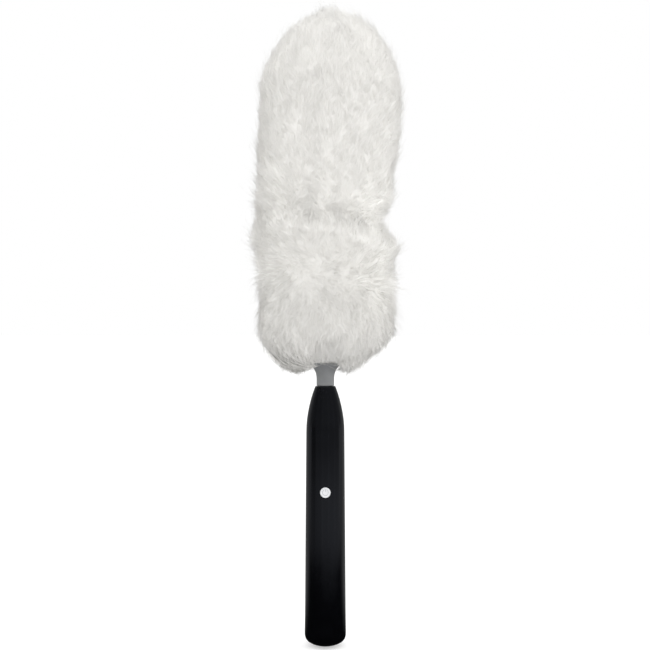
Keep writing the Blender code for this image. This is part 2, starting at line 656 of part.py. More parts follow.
def shell_details(side):
    """Screw bosses, motor ribs and, in front, the board's rails and the gearbox's key."""
    details = []
    reach = HANDLE_RADIUS
    for place, _ in screw_places():
        details.append(boss(side, BOSS_RADIUS, SEAM_GAP / 2, reach, place))
    rib_bore = MOTOR_RADIUS + FIT_GAP
    for turn in MOTOR_RIB_TURNS:
        rib = block("rib", (-MOTOR_RIB_WIDTH / 2, rib_bore, MOTOR_BOTTOM + DETAIL_INSET),
                    (MOTOR_RIB_WIDTH / 2, reach, MOTOR_TOP - DETAIL_INSET), None)
        rib.rotation_euler.z = math.radians(turn + (0 if side > 0 else 180))
        details.append(rib)
    if side < 0:
        rail_inside = BOARD_WIDTH / 2 - RAIL_WIDTH * 0.6
        for hand in (-1, 1):
            span = sorted((hand * rail_inside, hand * (rail_inside + RAIL_WIDTH)))
            details.append(block("rail", (span[0], -reach, BOARD_BOTTOM + DETAIL_INSET / 2),
                                 (span[1], -(BOARD_FRONT + FIT_GAP), MOTOR_RIB - DETAIL_INSET), None))
        details.append(block("key", (-KEY_WIDTH / 2, -reach, RING_BOTTOM + DETAIL_INSET),
                             (KEY_WIDTH / 2, -(RING_RADIUS - KEY_DEPTH), RING_TOP - DETAIL_INSET), None))
    return details


def make_shell(name, side, material):
    """One half of the casing, -1 for the front and 1 for the rear."""
    shell = turned(name, casing_outline(), material, 32)
    reach = 2 * HANDLE_RADIUS
    near, far = sorted((-side * reach, side * SEAM_GAP / 2))
    half = block("half", (-reach, near, -reach), (reach, far, NOSE_TOP + reach), None)
    combine(shell, half, "DIFFERENCE")
    for detail in shell_details(side):
        combine(detail, wall_core(), "INTERSECT")
        combine(shell, detail, "UNION")
    for place, depth in screw_places():
        if side < 0:
            combine(shell, boss(side, SCREW_RADIUS + FIT_GAP / 2, -OVERCUT, depth, place, 12), "DIFFERENCE")
        else:
            combine(shell, boss(side, SCREW_RADIUS + FIT_GAP, -OVERCUT, reach, place, 12), "DIFFERENCE")
            combine(shell, boss(side, SCREW_HEAD_RADIUS + FIT_GAP, depth, reach, place, 16), "DIFFERENCE")
    if side < 0:
        hole = boss(side, BUTTON_RADIUS + BUTTON_GAP, BUTTON_RADIUS, reach, (0.0, 0.0, BUTTON_CENTRE), 28)
        combine(shell, hole, "DIFFERENCE")
    return shell


def make_screws(metal):
    """Four pan-head screws from the rear shell into the front one."""
    screws = []
    for number, (place, depth) in enumerate(screw_places(), 1):
        head = depth + FIT_GAP
        tip = -(depth - 2 * FIT_GAP)
        outline = [
            (0.0, tip), (SCREW_RADIUS * 0.5, tip), (SCREW_RADIUS, tip + SCREW_RADIUS),
            (SCREW_RADIUS, head), (SCREW_HEAD_RADIUS, head),
            (SCREW_HEAD_RADIUS * 0.9, head + SCREW_HEAD_HEIGHT * 0.7),
            (SCREW_HEAD_RADIUS * 0.5, head + SCREW_HEAD_HEIGHT), (0.0, head + SCREW_HEAD_HEIGHT),
        ]
        screw = turned(f"casing_screw_{number}", outline, metal, 12)
        lay_along_y(screw, 1)
        screw.location = place
        screws.append(screw)
    return screws


# Contacts, switch and leads

def make_contacts(plastic, metal):
    """The bulkhead above the battery bay, and a leaf contact over each rivet with a tab through it."""
    bulkhead = disc("contact_bulkhead", casing_bore(BULKHEAD_RIB) - FIT_GAP, BULKHEAD_BOTTOM,
                    BULKHEAD_BOTTOM + BULKHEAD_THICKNESS, plastic, 28)
    leaves = []
    reach = LEAF_WIDTH / 2
    tab = COLUMN_OFFSET - RIVET_HEAD_RADIUS
    for number, side in enumerate((1, -1), 1):
        slot_span = sorted((side * (tab - FIT_GAP), side * (tab + STRIP_THICKNESS + FIT_GAP)))
        slot = block("slot", (slot_span[0], -reach - FIT_GAP, LEAF_BOTTOM),
                     (slot_span[1], reach + FIT_GAP, BULKHEAD_RIB + RIB_HEIGHT), None)
        combine(bulkhead, slot, "DIFFERENCE")
        far = COLUMN_OFFSET + RIVET_HEAD_RADIUS
        corners = [
            (tab, LEAF_BOTTOM), (far, LEAF_BOTTOM), (far, LEAF_BOTTOM + STRIP_THICKNESS),
            (tab + STRIP_THICKNESS, LEAF_BOTTOM + STRIP_THICKNESS),
            (tab + STRIP_THICKNESS, LEAF_BOTTOM + LEAF_TAB_HEIGHT), (tab, LEAF_BOTTOM + LEAF_TAB_HEIGHT),
        ]
        leaf = prism(f"contact_leaf_{number}", [(side * x, z) for x, z in corners], -reach, reach, metal)
        lay_along_y(leaf, -1)
        leaves.append(leaf)
    return [bulkhead] + leaves


def make_switch(board_material, plastic):
    """The board behind the button, and the push switch on its front."""
    board = block("switch_board", (-BOARD_WIDTH / 2, -BOARD_FRONT, BOARD_BOTTOM),
                  (BOARD_WIDTH / 2, -BOARD_BACK, BOARD_BOTTOM + BOARD_LENGTH), board_material)
    half = SWITCH_WIDTH / 2
    body = block("switch_body", (-half, -SWITCH_FRONT, BUTTON_CENTRE - half),
                 (half, -SWITCH_BACK, BUTTON_CENTRE + half), plastic)
    pocket = boss(-1, PLUNGER_RADIUS + FIT_GAP / 2, PLUNGER_BACK - BUTTON_TRAVEL - FIT_GAP,
                  SWITCH_FRONT + OVERCUT, (0.0, 0.0, BUTTON_CENTRE), 16)
    combine(body, pocket, "DIFFERENCE")
    return board, body


def make_button(white, plastic):
    """The push button, kept in by a flange behind the wall, and the switch's plunger."""
    outline = [
        (0.0, BUTTON_STEM_END), (BUTTON_STEM_RADIUS, BUTTON_STEM_END),
        (BUTTON_STEM_RADIUS, BUTTON_FLANGE_FRONT - BUTTON_FLANGE_THICKNESS),
        (BUTTON_FLANGE_RADIUS, BUTTON_FLANGE_FRONT - BUTTON_FLANGE_THICKNESS),
        (BUTTON_FLANGE_RADIUS, BUTTON_FLANGE_FRONT), (BUTTON_RADIUS, BUTTON_FLANGE_FRONT),
        (BUTTON_RADIUS, BUTTON_FACE - BUTTON_EDGE), (BUTTON_RADIUS - BUTTON_EDGE, BUTTON_FACE),
        (0.0, BUTTON_FACE),
    ]
    button = turned("power_button", outline, white, 24)
    plunger = disc("switch_plunger", PLUNGER_RADIUS, PLUNGER_BACK, PLUNGER_FRONT, plastic, 16)
    for piece in (button, plunger):
        lay_along_y(piece, -1)
        piece.location = (0.0, 0.0, BUTTON_CENTRE)
    return button, plunger


def lead_points(route, steps):
    """Points along a smooth curve through a route's own points."""
    spline = [Vector(point) for point in route]
    spline = [2 * spline[0] - spline[1]] + spline + [2 * spline[-1] - spline[-2]]
    points = []
    for before, start, end, after in zip(spline, spline[1:], spline[2:], spline[3:]):
        for step in range(steps):
            t = step / steps
            points.append(0.5 * (2 * start + (end - before) * t
                                 + (2 * before - 5 * start + 4 * end - after) * t ** 2
                                 + (3 * start - before - 3 * end + after) * t ** 3))
    return points + [spline[-2]]


def make_leads(red, black):
    """Leads from the leaf contacts to the board, and from the board to the motor."""
    leads = []
    board_face = -BOARD_BACK + FIT_GAP
    board_top = BOARD_BOTTOM + BOARD_LENGTH
    tab = COLUMN_OFFSET - RIVET_HEAD_RADIUS + STRIP_THICKNESS / 2
    tab_top = LEAF_BOTTOM + LEAF_TAB_HEIGHT + FIT_GAP
    bell = MOTOR_BOTTOM - FIT_GAP
    for number, (side, colour) in enumerate(((1, red), (-1, black)), 1):
        route = [
            (side * tab, 0.0, tab_top),
            (side * tab, 0.0, tab_top + 0.0020),
            (side * (tab + 0.0006), 0.0012, (tab_top + BOARD_BOTTOM) / 2 + 0.0016),
            (side * tab, 0.0, BOARD_BOTTOM + 0.0022),
            (side * (tab - 0.0004), board_face + 0.0018, BOARD_BOTTOM + 0.0034),
            (side * (tab - 0.0004), board_face, BOARD_BOTTOM + 0.0036),
        ]
        leads.append(tube_along(f"battery_lead_{number}", lead_points(route, 2), LEAD_RADIUS, colour))
        route = [
            (side * 0.0030, board_face, board_top - 0.0040),
            (side * 0.0030, board_face + 0.0018, board_top - 0.0038),
            (side * 0.0042, 0.0, board_top - 0.0022),
            (side * 0.0060, 0.0016, bell - 0.0016),
            (side * 0.0062, 0.0018, bell),
        ]
        leads.append(tube_along(f"motor_lead_{number}", lead_points(route, 2), LEAD_RADIUS, colour))
    return leads


# Motor

def make_motor_case(steel, plastic, magnet_material):
    """The drawn can with its bearing boss, the end bell in its mouth and two curved magnets."""
    shaft_hole = MOTOR_SHAFT_RADIUS + FIT_GAP
    roof = MOTOR_TOP - MOTOR_WALL
    can = turned("motor_can", [
        (MOTOR_RADIUS - MOTOR_WALL, MOTOR_BOTTOM), (MOTOR_RADIUS, MOTOR_BOTTOM),
        (MOTOR_RADIUS, MOTOR_TOP - MOTOR_WALL), (MOTOR_RADIUS - MOTOR_WALL, MOTOR_TOP),
        (MOTOR_BOSS_RADIUS, MOTOR_TOP), (MOTOR_BOSS_RADIUS, MOTOR_TOP + MOTOR_BOSS_HEIGHT),
        (shaft_hole, MOTOR_TOP + MOTOR_BOSS_HEIGHT), (shaft_hole, roof),
        (MOTOR_RADIUS - MOTOR_WALL, roof),
    ], steel, 24)
    bell_radius = MOTOR_RADIUS - MOTOR_WALL - FIT_GAP
    bell = turned("motor_end_bell", ring_outline(shaft_hole, bell_radius, MOTOR_BOTTOM + FIT_GAP,
                                                 MOTOR_BOTTOM + FIT_GAP + BELL_THICKNESS), plastic, 24)
    magnets = []
    outer = bell_radius
    inner = outer - MAGNET_THICKNESS
    low = (MOTOR_BOTTOM + MOTOR_TOP - MAGNET_LENGTH) / 2
    steps = 8
    for number, middle in enumerate((0.0, math.pi), 1):
        angles = [middle - MAGNET_ANGLE / 2 + MAGNET_ANGLE * step / steps for step in range(steps + 1)]
        outline = [(outer * math.cos(angle), outer * math.sin(angle)) for angle in angles]
        outline += [(inner * math.cos(angle), inner * math.sin(angle)) for angle in reversed(angles)]
        magnets.append(prism(f"motor_magnet_{number}", outline, low, low + MAGNET_LENGTH, magnet_material))
    return can, bell, magnets


def make_rotor(steel, copper, plastic):
    """The wound armature with its poles, the commutator, the shaft and the first sun gear."""
    outer = MOTOR_RADIUS - MOTOR_WALL - FIT_GAP - MAGNET_THICKNESS - ARMATURE_GAP
    low = (MOTOR_BOTTOM + MOTOR_TOP - MAGNET_LENGTH) / 2 + 0.001
    slot = outer * 0.62
    outline = []
    share = 2 * math.pi / ARMATURE_POLES
    for pole in range(ARMATURE_POLES):
        middle = pole * share
        for step in range(7):
            angle = middle + share * 0.44 * (step / 3 - 1)
            outline.append((outer * math.cos(angle), outer * math.sin(angle)))
        outline.append((slot * math.cos(middle + share / 2), slot * math.sin(middle + share / 2)))
    hole = MOTOR_SHAFT_RADIUS + FIT_GAP
    armature = prism("motor_armature", outline, low, low + MAGNET_LENGTH - 0.002, steel, bore=hole)
    commutator_low = MOTOR_BOTTOM + BELL_THICKNESS + 2 * FIT_GAP
    commutator = turned("motor_commutator",
                        ring_outline(hole, COMMUTATOR_RADIUS, commutator_low,
                                     min(commutator_low + COMMUTATOR_LENGTH, low - FIT_GAP)), copper, 18)
    shaft = disc("motor_shaft", MOTOR_SHAFT_RADIUS, MOTOR_BOTTOM, FIRST_CARRIER - FIT_GAP, steel, 16)
    sun = outer_gear("sun_gear", SUN_TEETH, FIRST_GEARS, FIRST_GEARS + FIRST_GEAR_LENGTH - FIT_GAP, plastic,
                     (0.0, 0.0, 0.0), hole)
    return [armature, commutator, shaft, sun]


# Gearbox

def make_gearbox_case(plastic):
    """The base plate, the housing with the ring gear's teeth inside, and the cover with its hub."""
    base = turned("gearbox_base", ring_outline(MOTOR_BOSS_RADIUS + FIT_GAP, RING_RADIUS, GEARBOX_BASE,
                                               GEARBOX_BASE + GEARBOX_PLATE), plastic, 28)
    ring = disc("ring_gear", RING_RADIUS, RING_BOTTOM, RING_TOP, plastic, 36)
    space = gear_outline(RING_TEETH, RING_PITCH_RADIUS - ADDENDUM * GEAR_MODULE,
                         RING_PITCH_RADIUS + DEDENDUM * GEAR_MODULE, -BACKLASH, (0.0, 1.0))
    combine(ring, prism("space", space, RING_BOTTOM - OVERCUT, RING_TOP + OVERCUT, None), "DIFFERENCE")
    key_reach = KEY_WIDTH / 2 + FIT_GAP
    keyway = block("keyway", (-key_reach, -RING_RADIUS - OVERCUT, RING_BOTTOM - OVERCUT),
                   (key_reach, -(RING_RADIUS - KEY_DEPTH - FIT_GAP), RING_TOP + OVERCUT), None)
    combine(ring, keyway, "DIFFERENCE")
    hub = BUSH_SEAT_RADIUS + CASING_WALL * 0.8
    cover = turned("gearbox_cover", [
        (BUSH_SEAT_RADIUS, GEARBOX_COVER), (RING_RADIUS, GEARBOX_COVER), (RING_RADIUS, COVER_TOP),
        (hub, COVER_TOP), (hub, COVER_HUB_TOP), (BUSH_SEAT_RADIUS, COVER_HUB_TOP),
    ], plastic, 28)
    return [base, ring, cover]


def planet_places():
    """The centres of the planet gears round the axis."""
    turns = [2 * math.pi * number / PLANET_COUNT for number in range(PLANET_COUNT)]
    return [(PLANET_ORBIT * math.cos(turn), PLANET_ORBIT * math.sin(turn)) for turn in turns]


def make_planets(stage, low, length, plastic):
    """One stage's planet gears. A tooth points away from the axis, where the ring has a space."""
    planets = []
    for letter, (x, y) in zip("abcdef", planet_places()):
        planets.append(outer_gear(f"planet_{stage}{letter}", PLANET_TEETH, 0.0, length, plastic,
                                  (x, y, low), PLANET_PIN_RADIUS + PIN_GAP))
    return planets


def make_carrier(name, plate_low, pin_low, material):
    """A carrier disc with a pin down through each planet of its stage."""
    carrier = disc(name, CARRIER_RADIUS, plate_low, plate_low + CARRIER_THICKNESS, material, 28)
    for x, y in planet_places():
        pin = disc("pin", PLANET_PIN_RADIUS, pin_low, plate_low + CARRIER_THICKNESS / 2, None, 12,
                   (x, y, 0.0))
        combine(carrier, pin, "UNION")
    return carrier


def make_first_carrier(material):
    """The first carrier, with the second stage's sun gear moulded on it."""
    carrier = make_carrier("carrier_1", FIRST_CARRIER, FIRST_GEARS, material)
    sun = outer_gear("sun", SUN_TEETH, FIRST_CARRIER + CARRIER_THICKNESS / 2,
                     SECOND_GEARS + SECOND_GEAR_LENGTH - FIT_GAP, None, (0.0, 0.0, 0.0), 0.0)
    combine(carrier, sun, "UNION")
    return carrier


def make_output(plastic, steel, rubber):
    """The second carrier, the spindle with its hexagonal drive end, and the ring that grips the head."""
    carrier = make_carrier("carrier_2", SECOND_CARRIER, SECOND_GEARS, plastic)
    tang_low = SECOND_CARRIER + CARRIER_THICKNESS * 0.25
    combine(carrier, disc("seat", SPINDLE_TANG_RADIUS + FIT_GAP / 2, tang_low,
                          SPINDLE_COLLAR + OVERCUT, None, 16), "DIFFERENCE")
    spindle = turned("output_spindle", [
        (0.0, tang_low + FIT_GAP), (SPINDLE_TANG_RADIUS, tang_low + FIT_GAP),
        (SPINDLE_TANG_RADIUS, SPINDLE_COLLAR), (SPINDLE_COLLAR_RADIUS, SPINDLE_COLLAR),
        (SPINDLE_COLLAR_RADIUS, SPINDLE_COLLAR + SPINDLE_COLLAR_HEIGHT),
        (SPINDLE_RADIUS, SPINDLE_COLLAR + SPINDLE_COLLAR_HEIGHT),
        (SPINDLE_RADIUS, DRIVE_BOTTOM), (0.0, DRIVE_BOTTOM),
    ], steel, 18)
    drive = disc("drive", DRIVE_RADIUS, DRIVE_BOTTOM - OVERCUT, DRIVE_TOP, None, 6)
    combine(spindle, drive, "UNION")
    groove_middle = (DRIVE_BOTTOM + DRIVE_TOP) / 2
    groove_floor = DRIVE_RADIUS - GRIP_GROOVE_DEPTH - GRIP_RING_RADIUS
    groove_reach = GRIP_RING_RADIUS + FIT_GAP
    groove = ring_outline(groove_floor, 2 * DRIVE_RADIUS, groove_middle - groove_reach,
                          groove_middle + groove_reach)
    combine(spindle, turned("groove", groove, None, 18), "DIFFERENCE")
    middle = groove_floor + RUNNING_GAP + GRIP_RING_RADIUS
    section = [(middle + GRIP_RING_RADIUS * math.cos(math.pi * step / 3),
                groove_middle + GRIP_RING_RADIUS * math.sin(math.pi * step / 3)) for step in range(6)]
    return [carrier, spindle, turned("spindle_grip_ring", section, rubber, 14)]


def make_bushes(bronze, felt):
    """The bush in the gearbox cover, the bush in the nose, and the felt seal over it."""
    bore = SPINDLE_RADIUS + RUNNING_GAP
    flange_top = BUSH_BOTTOM + BUSH_FLANGE_THICKNESS
    inner = turned("inner_bush", [
        (bore, BUSH_BOTTOM), (BUSH_RADIUS + BUSH_FLANGE, BUSH_BOTTOM),
        (BUSH_RADIUS + BUSH_FLANGE, flange_top), (BUSH_RADIUS, flange_top),
        (BUSH_RADIUS, COVER_HUB_TOP), (bore, COVER_HUB_TOP),
    ], bronze, 24)
    nose = turned("nose_bush", ring_outline(bore, BUSH_RADIUS, NOSE_BUSH_BOTTOM,
                                            NOSE_BUSH_BOTTOM + NOSE_BUSH_LENGTH), bronze, 24)
    seal = turned("nose_seal", ring_outline(SPINDLE_RADIUS + FIT_GAP, BUSH_RADIUS, SEAL_SEAT,
                                            SEAL_SEAT + SEAL_THICKNESS), felt, 24)
    return [inner, nose, seal]


# Head

def collar_outline():
    """The collar: a sleeve that flares into a round flange, with a plug above it for the tube."""
    socket_seat = SOCKET_RADIUS + FIT_GAP
    plug = TUBE_RADIUS - TUBE_WALL - FIT_GAP
    outline = [(DRIVE_RADIUS + 2 * FIT_GAP, COLLAR_BOTTOM), (COLLAR_RADIUS - LIP_RADIUS, COLLAR_BOTTOM),
               (COLLAR_RADIUS, COLLAR_BOTTOM + LIP_RADIUS)]
    steps = 5
    start = COLLAR_FLARE_HEIGHT * COLLAR_STRAIGHT_SHARE
    for step in range(steps + 1):
        share = step / steps
        height = COLLAR_BOTTOM + start + (COLLAR_FLARE_HEIGHT - start) * share
        radius = COLLAR_RADIUS + (COLLAR_FLARE_RADIUS - COLLAR_RADIUS) * share ** COLLAR_FLARE_POWER
        outline.append((radius, height))
    outline += [
        (COLLAR_RIM_RADIUS, COLLAR_RIM + COLLAR_FLANGE),
        (COLLAR_RIM_RADIUS, COLLAR_RIM_TOP),
        (plug, COLLAR_RIM_TOP), (plug, COLLAR_TOP), (socket_seat, COLLAR_TOP),
        (socket_seat, SOCKET_BOTTOM - FIT_GAP), (DRIVE_RADIUS + 2 * FIT_GAP, SOCKET_BOTTOM - FIT_GAP),
    ]
    return outline


def make_head_core(grey, steel, plastic, fabric):
    """Collar, drive socket, core tube, tip cap and the fabric that carries the pile."""
    collar = turned("head_collar", collar_outline(), grey, 28)
    socket = disc("drive_socket", SOCKET_RADIUS, SOCKET_BOTTOM, SOCKET_TOP, steel, 20)
    hole = disc("hole", DRIVE_HOLE_RADIUS, SOCKET_BOTTOM - OVERCUT, DRIVE_TOP + FIT_GAP, None, 6)
    combine(socket, hole, "DIFFERENCE")
    tube = turned("core_tube", ring_outline(TUBE_RADIUS - TUBE_WALL, TUBE_RADIUS, TUBE_BOTTOM, TUBE_TOP),
                  plastic, 24)
    spigot = TUBE_RADIUS - TUBE_WALL - FIT_GAP
    tip = turned("tip_cap", [
        (spigot - TUBE_WALL, TUBE_TOP - TIP_CAP_SPIGOT), (spigot, TUBE_TOP - TIP_CAP_SPIGOT),
        (spigot, TUBE_TOP + FIT_GAP), (TUBE_RADIUS, TUBE_TOP + FIT_GAP), (TUBE_RADIUS, TIP_TOP - TIP_EDGE),
        (TUBE_RADIUS - TIP_EDGE, TIP_TOP), (0.0, TIP_TOP), (0.0, TUBE_TOP),
        (spigot - TUBE_WALL, TUBE_TOP),
    ][::-1], plastic, 20)
    outer = BACKING_BORE + BACKING_THICKNESS
    backing = turned("pile_backing", [
        (0.0, BACKING_TOP), (outer - TIP_EDGE, BACKING_TOP), (outer, BACKING_TOP - TIP_EDGE),
        (outer, TUBE_BOTTOM), (BACKING_BORE, TUBE_BOTTOM),
        (BACKING_BORE, BACKING_TOP - BACKING_THICKNESS), (0.0, BACKING_TOP - BACKING_THICKNESS),
    ], fabric, 24)
    return [collar, socket, tube, tip, backing]


def pile_outline():
    """The pile's mean outside, from the rim round the collar over its foot and side to its tip."""
    rim = COLLAR_RIM_RADIUS + 2 * FIT_GAP
    foot_top = PILE_BOTTOM + PILE_FOOT
    dome = PILE_TOP - PILE_DOME
    outline = [(rim, COLLAR_RIM_TOP - 0.0030), (rim + (PILE_FOOT_RADIUS - rim) * 0.5, PILE_BOTTOM + 0.0006)]
    foot_steps = 5
    for step in range(foot_steps):
        share = 1.0 - step / foot_steps
        width = (1.0 - share ** PILE_FOOT_POWER) ** (1 / PILE_FOOT_POWER)
        outline.append((PILE_FOOT_RADIUS + (PILE_RADIUS - PILE_FOOT_RADIUS) * width,
                        foot_top - PILE_FOOT * share))
    side_steps = 15
    for step in range(side_steps + 1):
        outline.append((PILE_RADIUS, foot_top + (dome - foot_top) * step / side_steps))
    dome_steps = 9
    for step in range(1, dome_steps):
        angle = math.pi / 2 * step / dome_steps
        outline.append((PILE_RADIUS * math.cos(angle), dome + PILE_DOME * math.sin(angle)))
    return outline


def pile_offset(angle, radius, height):
    """How far the pile stands out from its mean outline: two tiers parted by a sloping groove, in clumps."""
    across = radius * math.cos(angle)
    groove = PILE_BOTTOM + GROOVE_FROM_FOOT - GROOVE_SLOPE * across
    distance = (height - groove) / GROOVE_WIDTH
    depth = GROOVE_DEPTH * (1.0 + 0.9 * math.cos(angle))
    tiers = -depth * math.exp(-distance ** 2) + TIER_BULGE * math.exp(-(distance + 1.9) ** 2 / 1.6)
    around = Vector((radius * math.cos(angle), radius * math.sin(angle), height * 0.8)) / CLUMP_SIZE
    return tiers + CLUMP_DEPTH * noise.noise(around)


def pile_middle(height):
    """How far the pile's middle stands to the side: its top leans right and its foot left."""
    rise = (height - PILE_BOTTOM) / (PILE_TOP - PILE_BOTTOM)
    return PILE_LEAN * (smooth_step((rise - 0.5) / 0.3) - smooth_step((0.11 - rise) / 0.1))


def make_pile(material):
    """The pile as one closed solid round its backing, with its clumps, tiers and lean."""
    sides = 30
    outline = pile_outline()
    top = BACKING_TOP + FIT_GAP
    work = bmesh.new()
    rows = []
    for row, (radius, height) in enumerate(outline):
        held = row < 1
        share = smooth_step(row / 4) * smooth_step((radius - 0.006) / (PILE_RADIUS / 2))
        corners = []
        for side in range(sides):
            angle = 2 * math.pi * side / sides
            reach = radius + share * pile_offset(angle, radius, height)
            middle = 0.0 if held else pile_middle(height)
            place = (middle + reach * math.cos(angle), reach * math.sin(angle), height)
            corners.append(work.verts.new(place))
        rows.append(corners)
    rim = COLLAR_RIM_RADIUS + 2 * FIT_GAP
    for radius, height in ((rim, COLLAR_RIM_TOP + FIT_GAP), (PILE_BORE, COLLAR_RIM_TOP + FIT_GAP),
                           (PILE_BORE, top)):
        turns = [2 * math.pi * side / sides for side in range(sides)]
        rows.insert(0, [work.verts.new((radius * math.cos(turn), radius * math.sin(turn), height))
                        for turn in turns])
    for below, above in zip(rows, rows[1:]):
        for side in range(sides):
            after = (side + 1) % sides
            work.faces.new((below[side], below[after], above[after], above[side]))
    for loop, height in ((rows[0], top), (rows[-1], PILE_TOP)):
        middle = pile_middle(height) if height == PILE_TOP else 0.0
        pole = work.verts.new((middle, 0.0, height))
        for side in range(sides):
            work.faces.new((loop[side], loop[(side + 1) % sides], pole))
    return add_solid("fibre_pile", work, material)


def build():
    """Model every piece, and parent the moving ones to empties on their axes."""
    black = new_material("soft_black", (0.012, 0.012, 0.016), 0.45)
    cap_black = new_material("cap_black", (0.012, 0.012, 0.015), 0.42)
    white = new_material("button_white", (0.83, 0.84, 0.86), 0.4)
    grey = new_material("collar_grey", (0.24, 0.25, 0.26), 0.45)
    pile = new_material("pile_white", (0.80, 0.79, 0.76), 0.95)
    fabric = new_material("backing_fabric", (0.72, 0.71, 0.68), 0.95)
    inner_plastic = new_material("inner_plastic", (0.30, 0.31, 0.33), 0.5)
    gear_plastic = new_material("gear_plastic", (0.80, 0.78, 0.70), 0.4)
    board_green = new_material("board_green", (0.02, 0.16, 0.07), 0.45)
    switch_black = new_material("switch_black", (0.02, 0.02, 0.02), 0.4)
    steel = new_material("steel", (0.56, 0.56, 0.57), 0.3, 1.0)
    contact = new_material("contact_metal", (0.70, 0.68, 0.62), 0.3, 1.0)
    copper = new_material("copper", (0.72, 0.36, 0.20), 0.35, 1.0)
    bronze = new_material("bronze", (0.50, 0.33, 0.16), 0.4, 1.0)
    magnet = new_material("magnet", (0.06, 0.06, 0.065), 0.6)
    rubber = new_material("rubber", (0.02, 0.02, 0.02), 0.7)
    felt = new_material("felt", (0.35, 0.34, 0.32), 0.95)
    red_lead = new_material("red_lead", (0.55, 0.02, 0.02), 0.45)
    black_lead = new_material("black_lead", (0.01, 0.01, 0.01), 0.45)
    jacket = new_material("cell_jacket", (0.30, 0.32, 0.35), 0.35, 0.6)

    make_shell("front_shell", -1, black)
    make_shell("rear_shell", 1, black)
    make_screws(steel)
    make_contacts(inner_plastic, contact)
    make_switch(board_green, switch_black)
    make_leads(red_lead, black_lead)
    make_motor_case(steel, inner_plastic, magnet)
    make_gearbox_case(inner_plastic)
    make_bushes(bronze, felt)

    pack = [make_end_cap(cap_black), make_cap_seal(rubber), make_cartridge(inner_plastic)]
    pack += make_cells(jacket) + make_battery_contacts(contact)
    carry("battery_release", (0.0, 0.0, 0.0), pack)
    carry("button_press", (0.0, 0.0, BUTTON_CENTRE), make_button(white, switch_black))
    carry("rotor_axis", (0.0, 0.0, MOTOR_BOTTOM), make_rotor(steel, copper, gear_plastic))
    carry("first_carrier_axis", (0.0, 0.0, FIRST_CARRIER), [make_first_carrier(gear_plastic)])
    carry("spindle_axis", (0.0, 0.0, SECOND_CARRIER), make_output(gear_plastic, steel, rubber))
    make_planets(1, FIRST_GEARS, FIRST_GEAR_LENGTH, gear_plastic)
    make_planets(2, SECOND_GEARS, SECOND_GEAR_LENGTH, gear_plastic)
    head = make_head_core(grey, steel, inner_plastic, fabric) + [make_pile(pile)]
    carry("head_release", (0.0, 0.0, COLLAR_BOTTOM), head)


for old in list(bpy.data.objects):
    bpy.data.objects.remove(old)
build()
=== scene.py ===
"""Looks of the battery spin duster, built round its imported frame.

Metres, +Z up along the wand, the power button facing -Y. The fluffy head is a soft skin of overlapping
locks over the pile's own shape, covered with tapered fibres. The round shells are the frame's own
pieces with their facets cut finer. The button, screws, cells and grip ring are turned anew, also finer,
and tongues close the seam. Everything else keeps its CAD shape and gets its finish here.
"""

import json
import math

import bmesh
import bpy
import numpy as np
from mathutils import Matrix, Vector, noise
from mathutils.bvhtree import BVHTree
from mathutils.kdtree import KDTree


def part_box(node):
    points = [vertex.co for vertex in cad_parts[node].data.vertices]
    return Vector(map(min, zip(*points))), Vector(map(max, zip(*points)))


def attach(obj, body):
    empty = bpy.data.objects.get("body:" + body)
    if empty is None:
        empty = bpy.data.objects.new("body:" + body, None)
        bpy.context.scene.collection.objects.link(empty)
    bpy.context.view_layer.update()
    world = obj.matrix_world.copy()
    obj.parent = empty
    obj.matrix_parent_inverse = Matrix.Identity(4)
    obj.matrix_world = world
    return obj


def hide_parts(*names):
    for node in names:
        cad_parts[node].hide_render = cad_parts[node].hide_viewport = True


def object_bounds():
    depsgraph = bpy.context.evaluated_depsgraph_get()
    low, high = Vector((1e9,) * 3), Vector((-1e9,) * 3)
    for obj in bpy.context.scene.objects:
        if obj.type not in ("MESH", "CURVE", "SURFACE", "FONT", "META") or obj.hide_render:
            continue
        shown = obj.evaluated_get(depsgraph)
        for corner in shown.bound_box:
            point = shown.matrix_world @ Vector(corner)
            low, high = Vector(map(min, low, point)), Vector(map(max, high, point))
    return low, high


# The photograph's frame: 650 pixels square, a straight front view
FRAME_PIXELS = 650
PIXEL = 0.0009430
AXIS_PIXEL = 325.35
FOOT_PIXEL = 644.8
CAMERA_DISTANCE = 1.1
SENSOR_WIDTH = 0.036

# Studio
SOFTBOX_SIZE = (0.56, 0.60)
SOFTBOX_DISTANCE = 0.50
GLOSS_DISTANCE = 0.47
SOFTBOX_HEIGHT = 0.31
SOFTBOX_LEVELS = ((-88, 0.29), (0, 0.28), (86, 0.79))
GLOSS_TURNS = ((-76, 0.60), (-38, 0.80), (0, 1.0), (38, 1.05), (76, 0.95))
GLOSS_WIDTH = 0.34
GLOSS_PANELS = ((0.050, 0.10, 0.32), (0.120, 0.04, 0.20), (0.175, 0.07, 0.10), (0.415, 0.41, 0.20))
ROOM_LIGHT = (1.15, 1.26)
ROOM_WAY = (0.85, -0.5, 0.2)
ROOM_GLOSS = (0.015, 0.3)
ROOM_RUN = (0.0, 0.4)
REARWARDS = (0.0, 1.0, 0.0)
BEHIND = (0.02, 0.16)
BEFORE = (0.23, 0.36)
BEFORE_WAY = (0.45, -1.0, 0.0)
BEFORE_GLOSS = 0.09
FLOOR_COLOUR = 0.62
FLOOR_GLOW = 0.45
FLOOR_REACH = 30.0
FLOOR_HEIGHT = -0.0004

